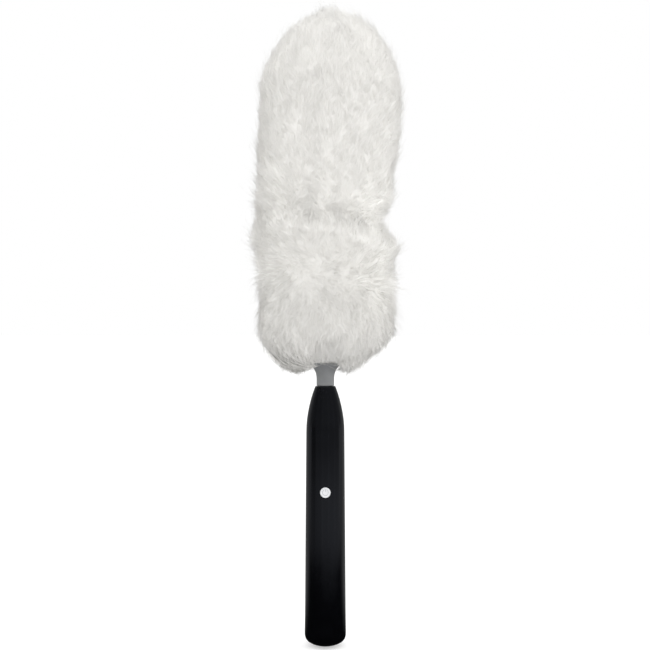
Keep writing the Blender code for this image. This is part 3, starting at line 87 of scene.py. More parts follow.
# Hard finishes: slot, name, darker and lighter tint, roughness, grain, its depth, metal, stretch, mottle
EVEN = (1.0, 1.0, 1.0)
FINISHES = (
    ("casing", "gloss_black", (0.0004, 0.0004, 0.0008), (0.0008, 0.0009, 0.0014), 0.17, 2600.0, 0.000001),
    ("collar", "collar_grey", (0.228, 0.234, 0.24), (0.258, 0.264, 0.27), 0.46, 4800.0, 0.000018),
    ("button", "button_white", (0.72, 0.73, 0.75), (0.78, 0.79, 0.81), 0.34, 4000.0, 0.000008),
    ("inner_plastic", "inner_grey", (0.232, 0.24, 0.253), (0.25, 0.258, 0.271), 0.5, 3600.0),
    ("gear_plastic", "gear_natural", (0.7, 0.68, 0.6), (0.8, 0.78, 0.7), 0.36, 5000.0, 0.000012),
    ("switch_plastic", "switch_black", (0.014, 0.014, 0.015), (0.024, 0.024, 0.026), 0.38, 5000.0),
    ("red_lead", "red_lead", (0.42, 0.012, 0.012), (0.56, 0.02, 0.018), 0.38, 4000.0, 0.00001),
    ("black_lead", "black_lead", (0.008, 0.008, 0.008), (0.016, 0.016, 0.016), 0.38, 4000.0, 0.00001),
    ("seal_rubber", "seal_rubber", (0.012, 0.012, 0.012), (0.026, 0.026, 0.026), 0.72, 3000.0),
    ("felt", "felt_grey", (0.26, 0.25, 0.235), (0.42, 0.41, 0.385), 0.95, 2600.0, 0.00015, 0.0,
     (1.0, 1.0, 4.0), 900.0),
    ("steel", "bright_steel", (0.5, 0.5, 0.52), (0.62, 0.62, 0.63), 0.3, 2400.0, 0.000006, 1.0,
     (1.0, 1.0, 0.06)),
    ("contact_metal", "plated_contact", (0.66, 0.64, 0.58), (0.76, 0.74, 0.68), 0.28, 3000.0, 0.000006,
     1.0),
    ("bronze", "sintered_bronze", (0.4, 0.255, 0.12), (0.56, 0.38, 0.19), 0.42, 7000.0, 0.00002, 1.0),
    ("magnet", "ferrite", (0.045, 0.045, 0.05), (0.075, 0.075, 0.08), 0.6, 5200.0, 0.00003),
    ("circuit_board", "board_green", (0.012, 0.11, 0.045), (0.022, 0.17, 0.075), 0.36, 1400.0, 0.00003,
     0.0, EVEN, 1300.0),
    ("cell_jacket", "cell_jacket", (0.02, 0.058, 0.15), (0.024, 0.068, 0.17), 0.28, 3000.0, 0.000008, 0.3),
    ("backing", "backing_knit", (0.58, 0.57, 0.54), (0.76, 0.75, 0.72), 0.95, 900.0, 0.0004, 0.0, EVEN,
     1100.0),
    ("mark", "mark_grey", (0.44, 0.45, 0.47), (0.5, 0.51, 0.53), 0.4, 4000.0, 0.000006),
)
# The casing's gloss has a slight blue cast
CASING_CAST = (0.82, 0.87, 1.0, 1.0)

# Finer shells
WELD = 0.000002
FLAT = math.radians(0.4)
FACET_CUTS = 3
SHARP = math.radians(32)

# How much fuller the photograph shows the black casing, by height
FULLER = ((0.0, 1.0), (0.001, 1.05), (0.0026, 1.08), (0.0045, 1.1), (0.0064, 1.08), (0.0083, 1.055),
          (0.012, 1.03), (0.018, 1.018), (0.042, 1.014), (0.08, 1.01), (0.108, 1.018), (0.137, 1.022),
          (0.17, 1.018), (0.199, 1.009), (0.212, 1.008), (0.224, 1.0), (0.25, 1.0))

# Pieces of the frame cut finer: name, node, its facets all round, body, finish, how much fuller
SHELLS = (("casing_front", "front_shell", 32, "handle", "casing", FULLER),
          ("casing_rear", "rear_shell", 32, "handle", "casing", FULLER),
          ("cap", "end_cap", 28, "battery_pack", "casing", FULLER),
          ("collar", "head_collar", 28, "duster_head", "collar", ((0.0, 1.0), (1.0, 1.0))))

# Finely turned pieces
TURNED_SIDES = 64
BUTTON_FLANGE = 0.001
BUTTON_FLANGE_THICKNESS = 0.0008
BUTTON_STEM_GAP = 0.0003
BUTTON_STEM_RADIUS = 0.0018
BUTTON_ROUND = 0.00035
BUTTON_RIM = 0.0009
BUTTON_DISH = 0.00022
BUTTON_DISH_EDGE = 0.00002
MARK_RADIUS = 0.00265
MARK_WIDTH = 0.0005
MARK_PROUD = 0.00004
MARK_OPENING = 70
MARK_BAR = (0.35, 1.18)
SCREW_COUNT = 4
SCREW_RADIUS = 0.001
SCREW_HEAD_HEIGHT = 0.0015
SCREW_HEAD_SIDE = 0.0005
SCREW_CHAMFER = 0.00006
SCREW_CROWN_STEPS = 6
SCREW_CROWN_POWER = 0.7
SCREW_TURN = 20
RECESS_WIDTH = 0.0006
RECESS_REACH = 0.00125
RECESS_DEPTH = 0.0009
CELL_COUNT = 4
NUB_HEIGHT = 0.0011
NUB_RADIUS = 0.00275
NUB_ROUND = 0.0003
CAN_FOOT = ((0.0, 0.00018), (0.0039, 0.00018), (0.0042, 0.00002), (0.006, 0.00002))
CAN_CORNER = 0.0006
CAN_SHOULDER = (0.0043, 0.003)
CAN_SHOULDER_DROP = 0.0002
SLEEVE_WALL = 0.0003
SLEEVE_SKIN = 0.00015
SLEEVE_ROUND = 0.0004
SLEEVE_MOUTHS = (0.0063, 0.0044)
SLEEVE_LIP = 0.00014
SLEEVE_END = 0.0005
TONGUE_ROWS = 90
TONGUE_HALF = 0.00025
TONGUE_INSET = 0.00055
TONGUE_DEPTH = 0.001

# The pile's skin: a grid of columns round the wand and rows from foot to tip
SKIN_COLUMNS = 260
SKIN_ROWS = 240
SKIN_DEPTH = 0.0054
SKIN_SMOOTHING = 30
DOME_BASE = 0.515
DOME_RUN = 0.105
FOOT_CENTRE = 0.3
FOOT_RUN = 0.062
FOOT_LOW = math.radians(22)
DOME_HIGH = math.radians(89.3)
RAY_START = 0.2
RIPPLES = ((0.0008, 0.006, 0.0), (0.0012, 0.015, 5.0))
LINING_TIP = 0.0004
LINING_RADIUS = 0.0146
LINING_BOTTOM = 0.27
LINING_TOP = 0.578
LINING_ROWS = 8

# The front of the foot sits higher, clear of the collar's rim
LIFT = 0.007
LIFT_WIDTH = 0.015
LIFT_DEPTH = 0.02
LIFT_BOTTOM = 0.262
LIFT_TOP = 0.305
RIM_VIEW = 0.0128
RIM_CLEAR = 0.264
RIM_SPREAD = 40.0
REAR_CLEAR = 0.2562

# The parting between the two tiers, and the lip over it with the hollow above: place and width
PARTING_HEIGHT = 0.37
PARTING_WIDTH = 0.055
PARTING_DEPTH = 0.0026
TIER_EDGE = 0.392
LIP = (-0.008, 0.008)
LIP_HOLLOW = (0.009, 0.01)
LIP_HOLLOW_SHARE = 0.8
LIP_SLOPE = 0.21
LIP_REACH = 0.0014
LIP_DEPTH = 0.05

# Which way locks lie: upwards (1) or downwards (-1) by height, with a swirl of one size
FLOW = ((0.255, -0.9), (0.275, -0.8), (0.3, -0.65), (0.33, -0.3), (0.365, 0.25), (0.386, 0.55),
        (0.4, 0.05), (0.44, 0.4), (0.5, 0.8), (0.57, 0.85), (0.595, 0.25))
FLOW_SLOPE = 0.13
SWIRL = 0.45
SWIRL_SIZE = 0.04
SWIRL_SHIFT = 3.0
WILDNESS = 0.25
SIDEWAYS = 0.8
STANDING = 0.6

# Locks raised on the skin: their rise at the root and on to the tip, and where and how soon the tip ends
LOCK_SPACING = 0.0115
LOCK_LENGTH = 0.024
LOCK_WIDTH = 0.0092
LOCK_HEIGHT = 0.0012
LOCK_HEIGHTS = (0.5, 1.2)
LOCKS_NEAR = 5
LOCK_RISE = (0.35, 0.65)
LOCK_NARROWING = 0.55
LOCK_TIP = (0.42, 0.1)

# Fibres in wisps. A pair of numbers gives the least and the most.
WISP_SPACING = 0.0034
WISP_TINT = 0.028
WISP_SWING = 0.35
WISP_STAND = (0.3, 0.6)
WISP_LENGTHS = (0.75, 1.25)
FIBRE_COUNT = 64000
FIBRES_PER_PIECE = 16000
FIBRE_LENGTH = 0.0112
FIBRE_WIDTH = 0.00032
FIBRE_WIDTHS = (0.7, 1.3)
FIBRE_TAPER = 0.4
FIBRE_SIDES = 3
FIBRE_SOFTNESS = 0.35
FIBRE_ASIDE = (0.011, 0.007, 0.003)
FIBRE_RINGS = 2
FIBRE_SWING = 0.45
FIBRE_STAND = (0.25, 0.7)
FIBRE_LENGTHS = (0.6, 1.25)
FIBRE_PULL = (0.1, 0.48)
FIBRE_RISE = 0.34
FIBRE_RUN = 0.3
FIBRE_DEPTH = 0.0008
FACE_OUT = 7 * math.pi / 6
FIBRE_TWIST = 0.08
LIT_SHARE = 0.6
LONG_SHARE = 0.1
LONG_REACH = 1.65
LONG_PULL = 0.4

# Long stray fibres, more of them low on the pile
LONG_RINGS = 7
STRAY_COUNT = 500
STRAY_LENGTH = 0.026
STRAY_LENGTHS = (0.6, 1.3)
STRAY_WIDTH = 0.0002
STRAY_BEND = (0.4, 1.6)
STRAY_STAND = (0.9, 0.45)
STRAY_LOW = 0.3
STRAY_CROWD = 5.0

# Pale strands over the left foot
STRAND_COUNT = 60
STRAND_WIDTH = 0.00042
STRAND_LIFT = 0.008
STRAND_LIFTS = (0.8, 1.12)
STRAND_ARCH = (0.8, 1.2)
STRAND_ACROSS = (-0.05, -0.022)
STRAND_HEIGHTS = (0.261, 0.286)
STRAND_END = (-0.008, -0.03, 0.267)
STRAND_SHARES = (0.35, 1.05)
STRAND_SCATTER = 0.0022

# Fringe beside the collar
FRINGE_COUNT = 1600
FRINGE_LENGTH = 0.0145
FRINGE_LENGTHS = (0.5, 1.1)
FRINGE_BAND = (0.0126, 0.04)
FRINGE_REAR = 0.012
FRINGE_TOP = 0.272
FRINGE_LEAN = 0.45
FRINGE_PULL = 0.65
FRINGE_SCATTER = 0.0012
FRINGE_RINGS = 3
FRINGE_SWELL = 0.0015

# A fibre's own square on the map: its root's triangle, and its sides' start, run and gap
MAP_ROOT = ((0.5, 0.02), (0.3, 0.02), (0.4, 0.08))
MAP_START, MAP_RUN, MAP_GAP = 0.12, 0.84, 0.06

ROOM_ROUND = 0.0085
SEED = 7

# How pale the pile is, by height, darker lower down as painted shade, and how much of that its skin between
# the fibres is, darker still as painted shade between the fibres
SKIN_PAINTED_SHADE = 0.85
SHADED_PALENESS = ((0.255, 0.88), (0.272, 0.88), (0.288, 0.84), (0.305, 0.8), (0.325, 0.8), (0.345, 0.86),
            (0.375, 0.92), (0.4, 0.95), (0.44, 0.98), (0.6, 1.0))

# Below this line across the front, from left to right, the pile is darkened with painted shade
SHADE_LINE = ((-0.075, 0.255), (-0.062, 0.282), (-0.051, 0.284), (-0.03, 0.277), (-0.011, 0.27),
              (-0.005, 0.25), (0.009, 0.25), (0.013, 0.264), (0.028, 0.265), (0.044, 0.25))
SHADE_RUN = 0.006
SHADE_DEPTH = 0.9
SHADE_EDGE = (0.012, 0.03)

# Tufts and hollows of the outline: turn in degrees, height, reach, width upwards, times wider round it
TUFTS = (
    (0, 0.432, -0.003, 0.022, 1.0),
    (0, 0.396, -0.007, 0.013, 2.0),
    (0, 0.377, 0.0046, 0.0075, 2.2),
    (0, 0.361, -0.0036, 0.011, 1.8),
    (180, 0.574, -0.005, 0.018, 1.0),
    (180, 0.552, -0.0035, 0.014, 1.0),
    (180, 0.436, -0.003, 0.022, 1.0),
    (180, 0.404, -0.0045, 0.011, 1.6),
    (180, 0.38, 0.0035, 0.009, 1.6),
    (180, 0.366, -0.003, 0.006, 1.2),
    (180, 0.318, -0.005, 0.024, 1.0),
    (180, 0.276, -0.005, 0.014, 1.0),
)
# Fibres are shorter in the notch at the right of the outline: its height, its width and the share cut off
NOTCH = (0.396, 0.016, 0.45)
DOME_DROP = 0.0028
DOME_START = 0.535
DOME_TIP = 0.598

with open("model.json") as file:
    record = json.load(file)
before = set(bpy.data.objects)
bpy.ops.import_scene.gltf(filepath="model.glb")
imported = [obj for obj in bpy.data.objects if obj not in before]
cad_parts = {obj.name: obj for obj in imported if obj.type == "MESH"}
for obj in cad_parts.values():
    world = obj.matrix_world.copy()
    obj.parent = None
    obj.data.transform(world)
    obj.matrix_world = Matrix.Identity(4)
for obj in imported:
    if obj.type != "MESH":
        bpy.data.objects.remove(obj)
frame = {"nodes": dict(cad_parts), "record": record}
cad_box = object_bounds()
random = np.random.default_rng(SEED)


def set_inputs(tree, node, values):
    """A node's sockets set by name or number. A value that is a socket itself is linked."""
    for name, value in values.items():
        if isinstance(value, bpy.types.NodeSocket):
            tree.links.new(value, node.inputs[name])
        else:
            node.inputs[name].default_value = value


def node_of(tree, kind, values=(), **settings):
    """A shader node with its settings and its sockets."""
    made = tree.nodes.new("ShaderNode" + kind)
    for name, value in settings.items():
        setattr(made, name, value)
    set_inputs(tree, made, dict(values))
    return made


def new_material(name, colour, roughness, metallic=0.0, specular=0.5):
    """A Principled material. Returns it with its tree and its shader."""
    made = bpy.data.materials.new(name)
    made.use_nodes = True
    shader = made.node_tree.nodes["Principled BSDF"]
    set_inputs(made.node_tree, shader, {"Base Color": (*colour, 1.0), "Roughness": roughness,
                                        "Metallic": metallic, "Specular IOR Level": specular})
    made.diffuse_color = (*colour, 1.0)
    return made, made.node_tree, shader


def object_noise(tree, scale, detail=3.0, stretch=EVEN):
    """Noise in the object's own coordinates, in features per metre."""
    place = node_of(tree, "TexCoord").outputs["Object"]
    mapped = node_of(tree, "Mapping", {"Vector": place, "Scale": stretch}).outputs["Vector"]
    return node_of(tree, "TexNoise", {"Vector": mapped, "Scale": scale, "Detail": detail}).outputs["Fac"]


def blend_colours(tree, factor, dark, light, low=0.35, high=0.65):
    """Two colours mixed by a factor between low and high."""
    ramp = node_of(tree, "ValToRGB", {"Fac": factor})
    for stop, position, colour in zip(ramp.color_ramp.elements, (low, high), (dark, light)):
        stop.position = position
        stop.color = (*colour, 1.0)
    return ramp.outputs["Color"]


def map_range(tree, value, low, high, least, most):
    """A value between low and high mapped to one between least and most."""
    limits = {"From Min": low, "From Max": high, "To Min": least, "To Max": most}
    return node_of(tree, "MapRange", {"Value": value, **limits}).outputs["Result"]


def moulded(name, dark, light, roughness, grain, depth=0.00002, metallic=0.0, stretch=EVEN, mottle=90.0):
    """A hard surface: two close tints in a soft mottle, uneven gloss and a fine grain of some depth."""
    made, tree, shader = new_material(name, light, roughness, metallic)
    cloud = object_noise(tree, mottle)
    height = object_noise(tree, grain, 2.0, stretch)
    bump = node_of(tree, "Bump", {"Height": height, "Strength": 1.0, "Distance": depth})
    gloss = map_range(tree, cloud, 0.3, 0.7, roughness * 0.9, roughness * 1.1)
    set_inputs(tree, shader, {"Base Color": blend_colours(tree, cloud, dark, light), "Roughness": gloss,
                              "Normal": bump.outputs["Normal"]})
    return made


def make_materials():
    """Every finish by the name of its slot."""
    made = {slot: moulded(*look) for slot, *look in FINISHES}
    casing = made["casing"].node_tree
    set_inputs(casing, casing.nodes["Principled BSDF"], {"Specular Tint": CASING_CAST})
    made["pile"] = pile_material()
    return made


def pile_material():
    """Soft off-white fibre. Its colour comes from a number at each point: a random tone per wisp and painted
    shade, darker low on the pile, across the front of its foot and on the skin between the fibres.
    """
    made, tree, shader = new_material("pile_fibre", (0.92, 0.91, 0.88), 0.85, specular=0.1)
    tint_and_shade = node_of(tree, "Attribute", attribute_name="tint_and_shade").outputs["Fac"]
    colour = blend_colours(tree, tint_and_shade, (0.56, 0.55, 0.52), (0.99, 0.979, 0.95), 0.0, 1.0)
    set_inputs(tree, shader, {"Base Color": colour, "Sheen Weight": 0.2, "Sheen Roughness": 0.5})
    return made


def linked(name, data):
    """An object of some data, put in the scene."""
    made = bpy.data.objects.new(name, data)
    bpy.context.scene.collection.objects.link(made)
    return made


def add_mesh(name, points, faces, material, smooth=True):
    """A mesh object from arrays of points and faces of one size."""
    mesh = bpy.data.meshes.new(name)
    points = np.asarray(points, dtype=np.float32)
    faces = np.asarray(faces, dtype=np.int32)
    size = faces.shape[1]
    mesh.vertices.add(len(points))
    mesh.vertices.foreach_set("co", points.ravel())
    mesh.loops.add(faces.size)
    mesh.loops.foreach_set("vertex_index", faces.ravel())
    mesh.polygons.add(len(faces))
    mesh.polygons.foreach_set("loop_start", np.arange(len(faces), dtype=np.int32) * size)
    mesh.polygons.foreach_set("use_smooth", np.full(len(faces), smooth))
    mesh.update(calc_edges=True)
    mesh.materials.append(material)
    return linked(name, mesh)


def place(piece, body, slot, *nodes):
    """Say what body a piece rides on and which nodes it stands for. Its slot is not used."""
    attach(piece, body)
    if nodes:
        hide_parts(*nodes)


def rounded_copy(name, node, sides, material, profile):
    """A copy of a turned node, with its facets cut finer and pushed out to the true circle or a profile."""
    work = bmesh.new()
    work.from_mesh(frame["nodes"][node].data)
    bmesh.ops.remove_doubles(work, verts=work.verts, dist=WELD)
    bmesh.ops.dissolve_limit(work, angle_limit=FLAT, verts=work.verts, edges=work.edges)
    facet = 2 * math.pi / sides
    for cut in range(sides * FACET_CUTS // 2):
        if cut % FACET_CUTS:
            turn = facet * cut / FACET_CUTS
            parts = work.verts[:] + work.edges[:] + work.faces[:]
            bmesh.ops.bisect_plane(work, geom=parts, dist=1e-6, plane_co=(0, 0, 0),
                                   plane_no=(-math.sin(turn), math.cos(turn), 0))
    for vert in work.verts:
        angle = math.atan2(vert.co.y, vert.co.x) % facet
        push = math.cos(angle - facet / 2) / math.cos(facet / 2)
        push *= np.interp(vert.co.z, *zip(*profile))
        vert.co.x *= push
        vert.co.y *= push
    return finished(name, work, material)


def finished(name, work, material):
    """An object from a bmesh, smooth but for its sharp edges."""
    mesh = bpy.data.meshes.new(name)
    work.to_mesh(mesh)
    work.free()
    if "custom_normal" in mesh.attributes:
        mesh.attributes.remove(mesh.attributes["custom_normal"])
    mesh.shade_smooth()
    mesh.set_sharp_from_angle(angle=SHARP)
    mesh.materials.clear()
    mesh.materials.append(material)
    return linked(name, mesh)


def turned(outline, sides=TURNED_SIDES, angle=2 * math.pi):
    """A bmesh of an outline of (radius, height) spun about Z, full circle or as a closed arc."""
    work = bmesh.new()
    points = [work.verts.new((radius, 0.0, height)) for radius, height in outline]
    if angle < 2 * math.pi:
        bmesh.ops.spin(work, geom=[work.faces.new(points)], cent=(0, 0, 0), axis=(0, 0, 1), angle=angle,
                       steps=sides)
    else:
        edges = [work.edges.new(pair) for pair in zip(points, points[1:])]
        if outline[0][0] > 0.0:
            edges.append(work.edges.new((points[-1], points[0])))
        bmesh.ops.spin(work, geom=points + edges, cent=(0, 0, 0), axis=(0, 0, 1), angle=angle, steps=sides,
                       use_merge=True)
    bmesh.ops.remove_doubles(work, verts=work.verts, dist=1e-7)
    bmesh.ops.recalc_face_normals(work, faces=work.faces)
    return work


def add_box(work, low, high):
    """A closed box between two corners, added to a bmesh."""
    corners = bmesh.ops.create_cube(work, size=1.0)["verts"]
    low, high = Vector(low), Vector(high)
    for corner in corners:
        corner.co = [low[i] + (corner.co[i] + 0.5) * (high[i] - low[i]) for i in range(3)]


def turn_about(work, degrees):
    """Turn a bmesh about Z."""
    matrix = Matrix.Rotation(math.radians(degrees), 3, "Z")
    bmesh.ops.rotate(work, verts=work.verts, cent=(0, 0, 0), matrix=matrix)


def lay_towards(work, side, centre):
    """Turn a bmesh made along Z to point along Y, to the rear (1) or the front (-1), and put it in place."""
    for vert in work.verts:
        x, y, z = vert.co
        vert.co = (x + centre[0], side * z + centre[1], centre[2] - side * y)


def arc_points(radius, height, size, first, last, steps):
    """Points of (radius, height) on an arc about a centre, from one angle to another in degrees."""
    angles = [math.radians(first + (last - first) * step / steps) for step in range(steps + 1)]
    return [(radius + size * math.cos(angle), height + size * math.sin(angle)) for angle in angles]


def make_button(finishes):
    """The push button: a rounded rim round a shallow flat dish, with a plain on-off mark in it."""
    low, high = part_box("power_button")
    centre = (0.0, 0.0, (low[2] + high[2]) / 2)
    flange = (high[2] - low[2]) / 2
    radius = flange - BUTTON_FLANGE
    face = -low[1] * np.interp(centre[2], *zip(*FULLER))
    stem = -high[1]
    flange_back = stem + BUTTON_STEM_GAP
    flange_front = flange_back + BUTTON_FLANGE_THICKNESS
    outline = [(0.0, stem), (BUTTON_STEM_RADIUS, stem), (BUTTON_STEM_RADIUS, flange_back),
               (flange, flange_back), (flange, flange_front), (radius, flange_front)]
    outline += arc_points(radius - BUTTON_ROUND, face - BUTTON_ROUND, BUTTON_ROUND, 0, 90, 6)
    outline += arc_points(radius - BUTTON_RIM, face - BUTTON_ROUND, BUTTON_ROUND, 90, 128, 3)
    dish = face - BUTTON_DISH
    outline += [(MARK_RADIUS + MARK_WIDTH, dish + BUTTON_DISH_EDGE), (MARK_RADIUS + MARK_WIDTH * 0.8, dish),
                (0.0, dish)]
    work = turned(outline)
    lay_towards(work, -1, centre)
    place(finished("button", work, finishes["button"]), "power_switch", "button", "power_button")

    half = MARK_WIDTH / 2
    under, over = dish - MARK_PROUD, dish + MARK_PROUD
    ring = [(MARK_RADIUS - half, under), (MARK_RADIUS + half, under), (MARK_RADIUS + half, over),
            (MARK_RADIUS - half, over)]
    work = turned(ring, TURNED_SIDES, math.radians(360 - MARK_OPENING))
    turn_about(work, 90 + MARK_OPENING / 2)
    add_box(work, (-half, MARK_RADIUS * MARK_BAR[0], under), (half, MARK_RADIUS * MARK_BAR[1], over))
    lay_towards(work, -1, centre)
    place(finished("button_mark", work, finishes["mark"]), "power_switch", "button")


def screw_outline(radius, tip, top):
    """Radius and height of a pan-head screw, from its tip to its top."""
    seat = top - SCREW_HEAD_HEIGHT
    crown = SCREW_HEAD_HEIGHT - SCREW_HEAD_SIDE
    outline = [(0.0, tip), (SCREW_RADIUS / 2, tip), (SCREW_RADIUS, tip + SCREW_RADIUS), (SCREW_RADIUS, seat),
               (radius - SCREW_CHAMFER, seat), (radius, seat + SCREW_CHAMFER)]
    for step in range(SCREW_CROWN_STEPS):
        angle = math.pi / 2 * step / SCREW_CROWN_STEPS
        outline.append((radius * math.cos(angle) ** SCREW_CROWN_POWER,
                        seat + SCREW_HEAD_SIDE + crown * math.sin(angle)))
    return outline + [(0.0, top)]


def make_screws(material):
    """The casing's screws with a cross recess, each turned its own way."""
    for number in range(1, SCREW_COUNT + 1):
        node = f"casing_screw_{number}"
        low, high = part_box(node)
        top = high[1]
        centre = ((low[0] + high[0]) / 2, 0.0, (low[2] + high[2]) / 2)
        work = turned(screw_outline((high[0] - low[0]) / 2, low[1], top))
        lay_towards(work, 1, centre)
        screw = finished(f"screw_{number}", work, material)
        for turn in (0, 90):
            arm = bmesh.new()
            add_box(arm, (-RECESS_REACH, -RECESS_WIDTH / 2, top - RECESS_DEPTH),
                    (RECESS_REACH, RECESS_WIDTH / 2, top + RECESS_DEPTH))
            turn_about(arm, turn + SCREW_TURN * number)
            lay_towards(arm, 1, centre)
            cut(screw, finished("recess", arm, material))
        place(screw, "handle", "steel", node)


def cut(base, tool):
    """Cut one object out of another for good."""
    step = base.modifiers.new("cut", "BOOLEAN")
    step.operation = "DIFFERENCE"
    step.object = tool
    graph = bpy.context.evaluated_depsgraph_get()
    mesh = bpy.data.meshes.new_from_object(base.evaluated_get(graph))
    base.modifiers.clear()
    base.data = mesh
    bpy.data.objects.remove(tool)
    mesh.shade_smooth()
    mesh.set_sharp_from_angle(angle=SHARP)


def can_outline(inner, body, length):
    """Radius and height of a cell's can: its foot, its wall, its sunk shoulder and its nub."""
    outline = [*CAN_FOOT, (inner, CAN_CORNER), (inner, body - CAN_CORNER)]
    outline += [(radius, body - CAN_SHOULDER_DROP) for radius in CAN_SHOULDER]
    outline += arc_points(NUB_RADIUS - NUB_ROUND, length - NUB_ROUND, NUB_ROUND, 0, 90, 4)
    return outline + [(0.0, length)]


def sleeve_outline(radius, body):
    """Radius and height of a cell's sleeve, crimped over both ends of the can."""
    skin = radius - SLEEVE_SKIN
    foot, shoulder = SLEEVE_MOUTHS
    outline = [(skin, SLEEVE_END), (foot, SLEEVE_LIP), (foot, 0.0)]
    for height, first in ((SLEEVE_ROUND, -90), (body - SLEEVE_ROUND, 0)):
        outline += arc_points(radius - SLEEVE_ROUND, height, SLEEVE_ROUND, first, first + 90, 4)
    return outline + [(shoulder, body), (shoulder, body - SLEEVE_LIP), (skin, body - SLEEVE_END)]


def make_cells(finishes):
    """AA cells: a steel can in a plain printed sleeve. The two columns stand opposite ways up."""
    for number in range(1, CELL_COUNT + 1):
        node = f"battery_{number}"
        low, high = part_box(node)
        middle = [(a + b) / 2 for a, b in zip(low, high)]
        radius = (high[1] - low[1]) / 2
        length = high[2] - low[2]
        body = length - NUB_HEIGHT
        upwards = 1 if middle[0] > 0 else -1
        for name, outline, finish in (("can", can_outline(radius - SLEEVE_WALL, body, length), "steel"),
                                      ("sleeve", sleeve_outline(radius, body), "cell_jacket")):
            work = turned(outline)
            for vert in work.verts:
                x, y, z = vert.co
                vert.co = (x + middle[0], upwards * y, middle[2] + upwards * (z - length / 2))
            place(finished(f"cell_{number}_{name}", work, finishes[finish]), "battery_pack", finish, node)


def surface_of(node):
    """The faces of one of the frame's nodes, to cast rays at."""
    mesh = frame["nodes"][node].data
    return BVHTree.FromPolygons([v.co for v in mesh.vertices], [p.vertices for p in mesh.polygons])


def make_seam_tongues(material):
    """The tongue inside each side seam, which the front and rear shells close over."""
    shell = surface_of("front_shell")
    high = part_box("front_shell")[1]
    heights = np.linspace(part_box("end_cap")[1][2] + TONGUE_INSET, high[2] - TONGUE_INSET, TONGUE_ROWS)
    for name, side in (("left", -1), ("right", 1)):
        points = []
        for height in heights:
            start = Vector((side * RAY_START, high[1] - TONGUE_HALF, height))
            wall = shell.ray_cast(start, Vector((-side, 0.0, 0.0)))[0].x
            outside = wall * np.interp(height, *zip(*FULLER)) - side * TONGUE_INSET
            inside = outside - side * TONGUE_DEPTH
            for x, y in ((inside, -1), (outside, -1), (outside, 1), (inside, 1)):
                points.append((x, y * TONGUE_HALF, height))
        faces = [(0, 3, 2, 1), tuple(4 * TONGUE_ROWS - step for step in (4, 3, 2, 1))]
        for row in range(0, 4 * (TONGUE_ROWS - 1), 4):
            for edge in range(4):
                after = (edge + 1) % 4
                faces.append((row + edge, row + after, row + 4 + after, row + 4 + edge))
        if side < 0:
            faces = [face[::-1] for face in faces]
        piece = add_mesh(f"seam_tongue_{name}", points, faces, material, smooth=False)
        place(piece, "handle", "casing", "front_shell")


def make_grip_ring(material):
    """The rubber ring in the spindle's groove, round in section."""
    low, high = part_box("spindle_grip_ring")
    size = (high[2] - low[2]) / 2
    section = arc_points((high[1] - low[1]) / 2 - size, (low[2] + high[2]) / 2, size, 0, 330, 11)
    place(finished("grip_ring", turned(section), material), "output", "seal_rubber", "spindle_grip_ring")


def smooth_grid(grid, rounds):
    """Average each point of a grid with its neighbours round its columns and along its rows."""
    for _ in range(rounds):
        grid = (np.roll(grid, 1, axis=1) + 2 * grid + np.roll(grid, -1, axis=1)) / 4
        grid[1:-1] = (grid[:-2] + 2 * grid[1:-1] + grid[2:]) / 4
    return grid


def skin_rays():
    """Ray origins and directions from round the pile towards its middle, row by row from foot to tip."""
    side = DOME_BASE - FOOT_CENTRE
    rays = []
    for along in np.linspace(0.0, FOOT_RUN + side + DOME_RUN, SKIN_ROWS):
        if along < FOOT_RUN:
            tilt = (FOOT_LOW - math.pi / 2) * (1.0 - along / FOOT_RUN)
            centre = FOOT_CENTRE
        elif along < FOOT_RUN + side:
            tilt = 0.0
            centre = FOOT_CENTRE + along - FOOT_RUN
        else:
            tilt = DOME_HIGH * (along - FOOT_RUN - side) / DOME_RUN
            centre = DOME_BASE
        for column in range(SKIN_COLUMNS):
            turn = 2 * math.pi * column / SKIN_COLUMNS
            out = Vector((math.cos(turn) * math.cos(tilt), math.sin(turn) * math.cos(tilt), math.sin(tilt)))
            rays.append((Vector((0.0, 0.0, centre)) + out * RAY_START, -out))
    return rays


def pile_surface():
    """The pile's outside as a smooth grid of points, from the frame's own pile."""
    pile = surface_of("fibre_pile")
    hits = [pile.ray_cast(origin, inward)[0] for origin, inward in skin_rays()]
    grid = np.array(hits, dtype=float).reshape(SKIN_ROWS, SKIN_COLUMNS, 3)
    return shaped(smooth_grid(grid, SKIN_SMOOTHING))


def smooth_step(value):
    """An even ramp from 0 to 1 with soft ends."""
    value = np.clip(value, 0.0, 1.0)
    return value * value * (3.0 - 2.0 * value)


def bell(values, centre, width):
    """A smooth bump of height one about a centre."""
    return np.exp(-((values - centre) / width) ** 2)


def tufted(grid):
    """The grid with the tufts and hollows of its outline."""
    for turn, height, reach, width, times_round in TUFTS:
        way = np.array((math.cos(math.radians(turn)), math.sin(math.radians(turn)), 0.0))
        radius = np.linalg.norm(grid[..., :2], axis=-1)
        across = radius * np.arccos(np.clip(sideways_of(grid) @ way, -1.0, 1.0)) / times_round
        away = np.hypot(across, grid[..., 2] - height)
        grid = grid + way * (reach * bell(away, 0.0, width))[..., None]
    return grid


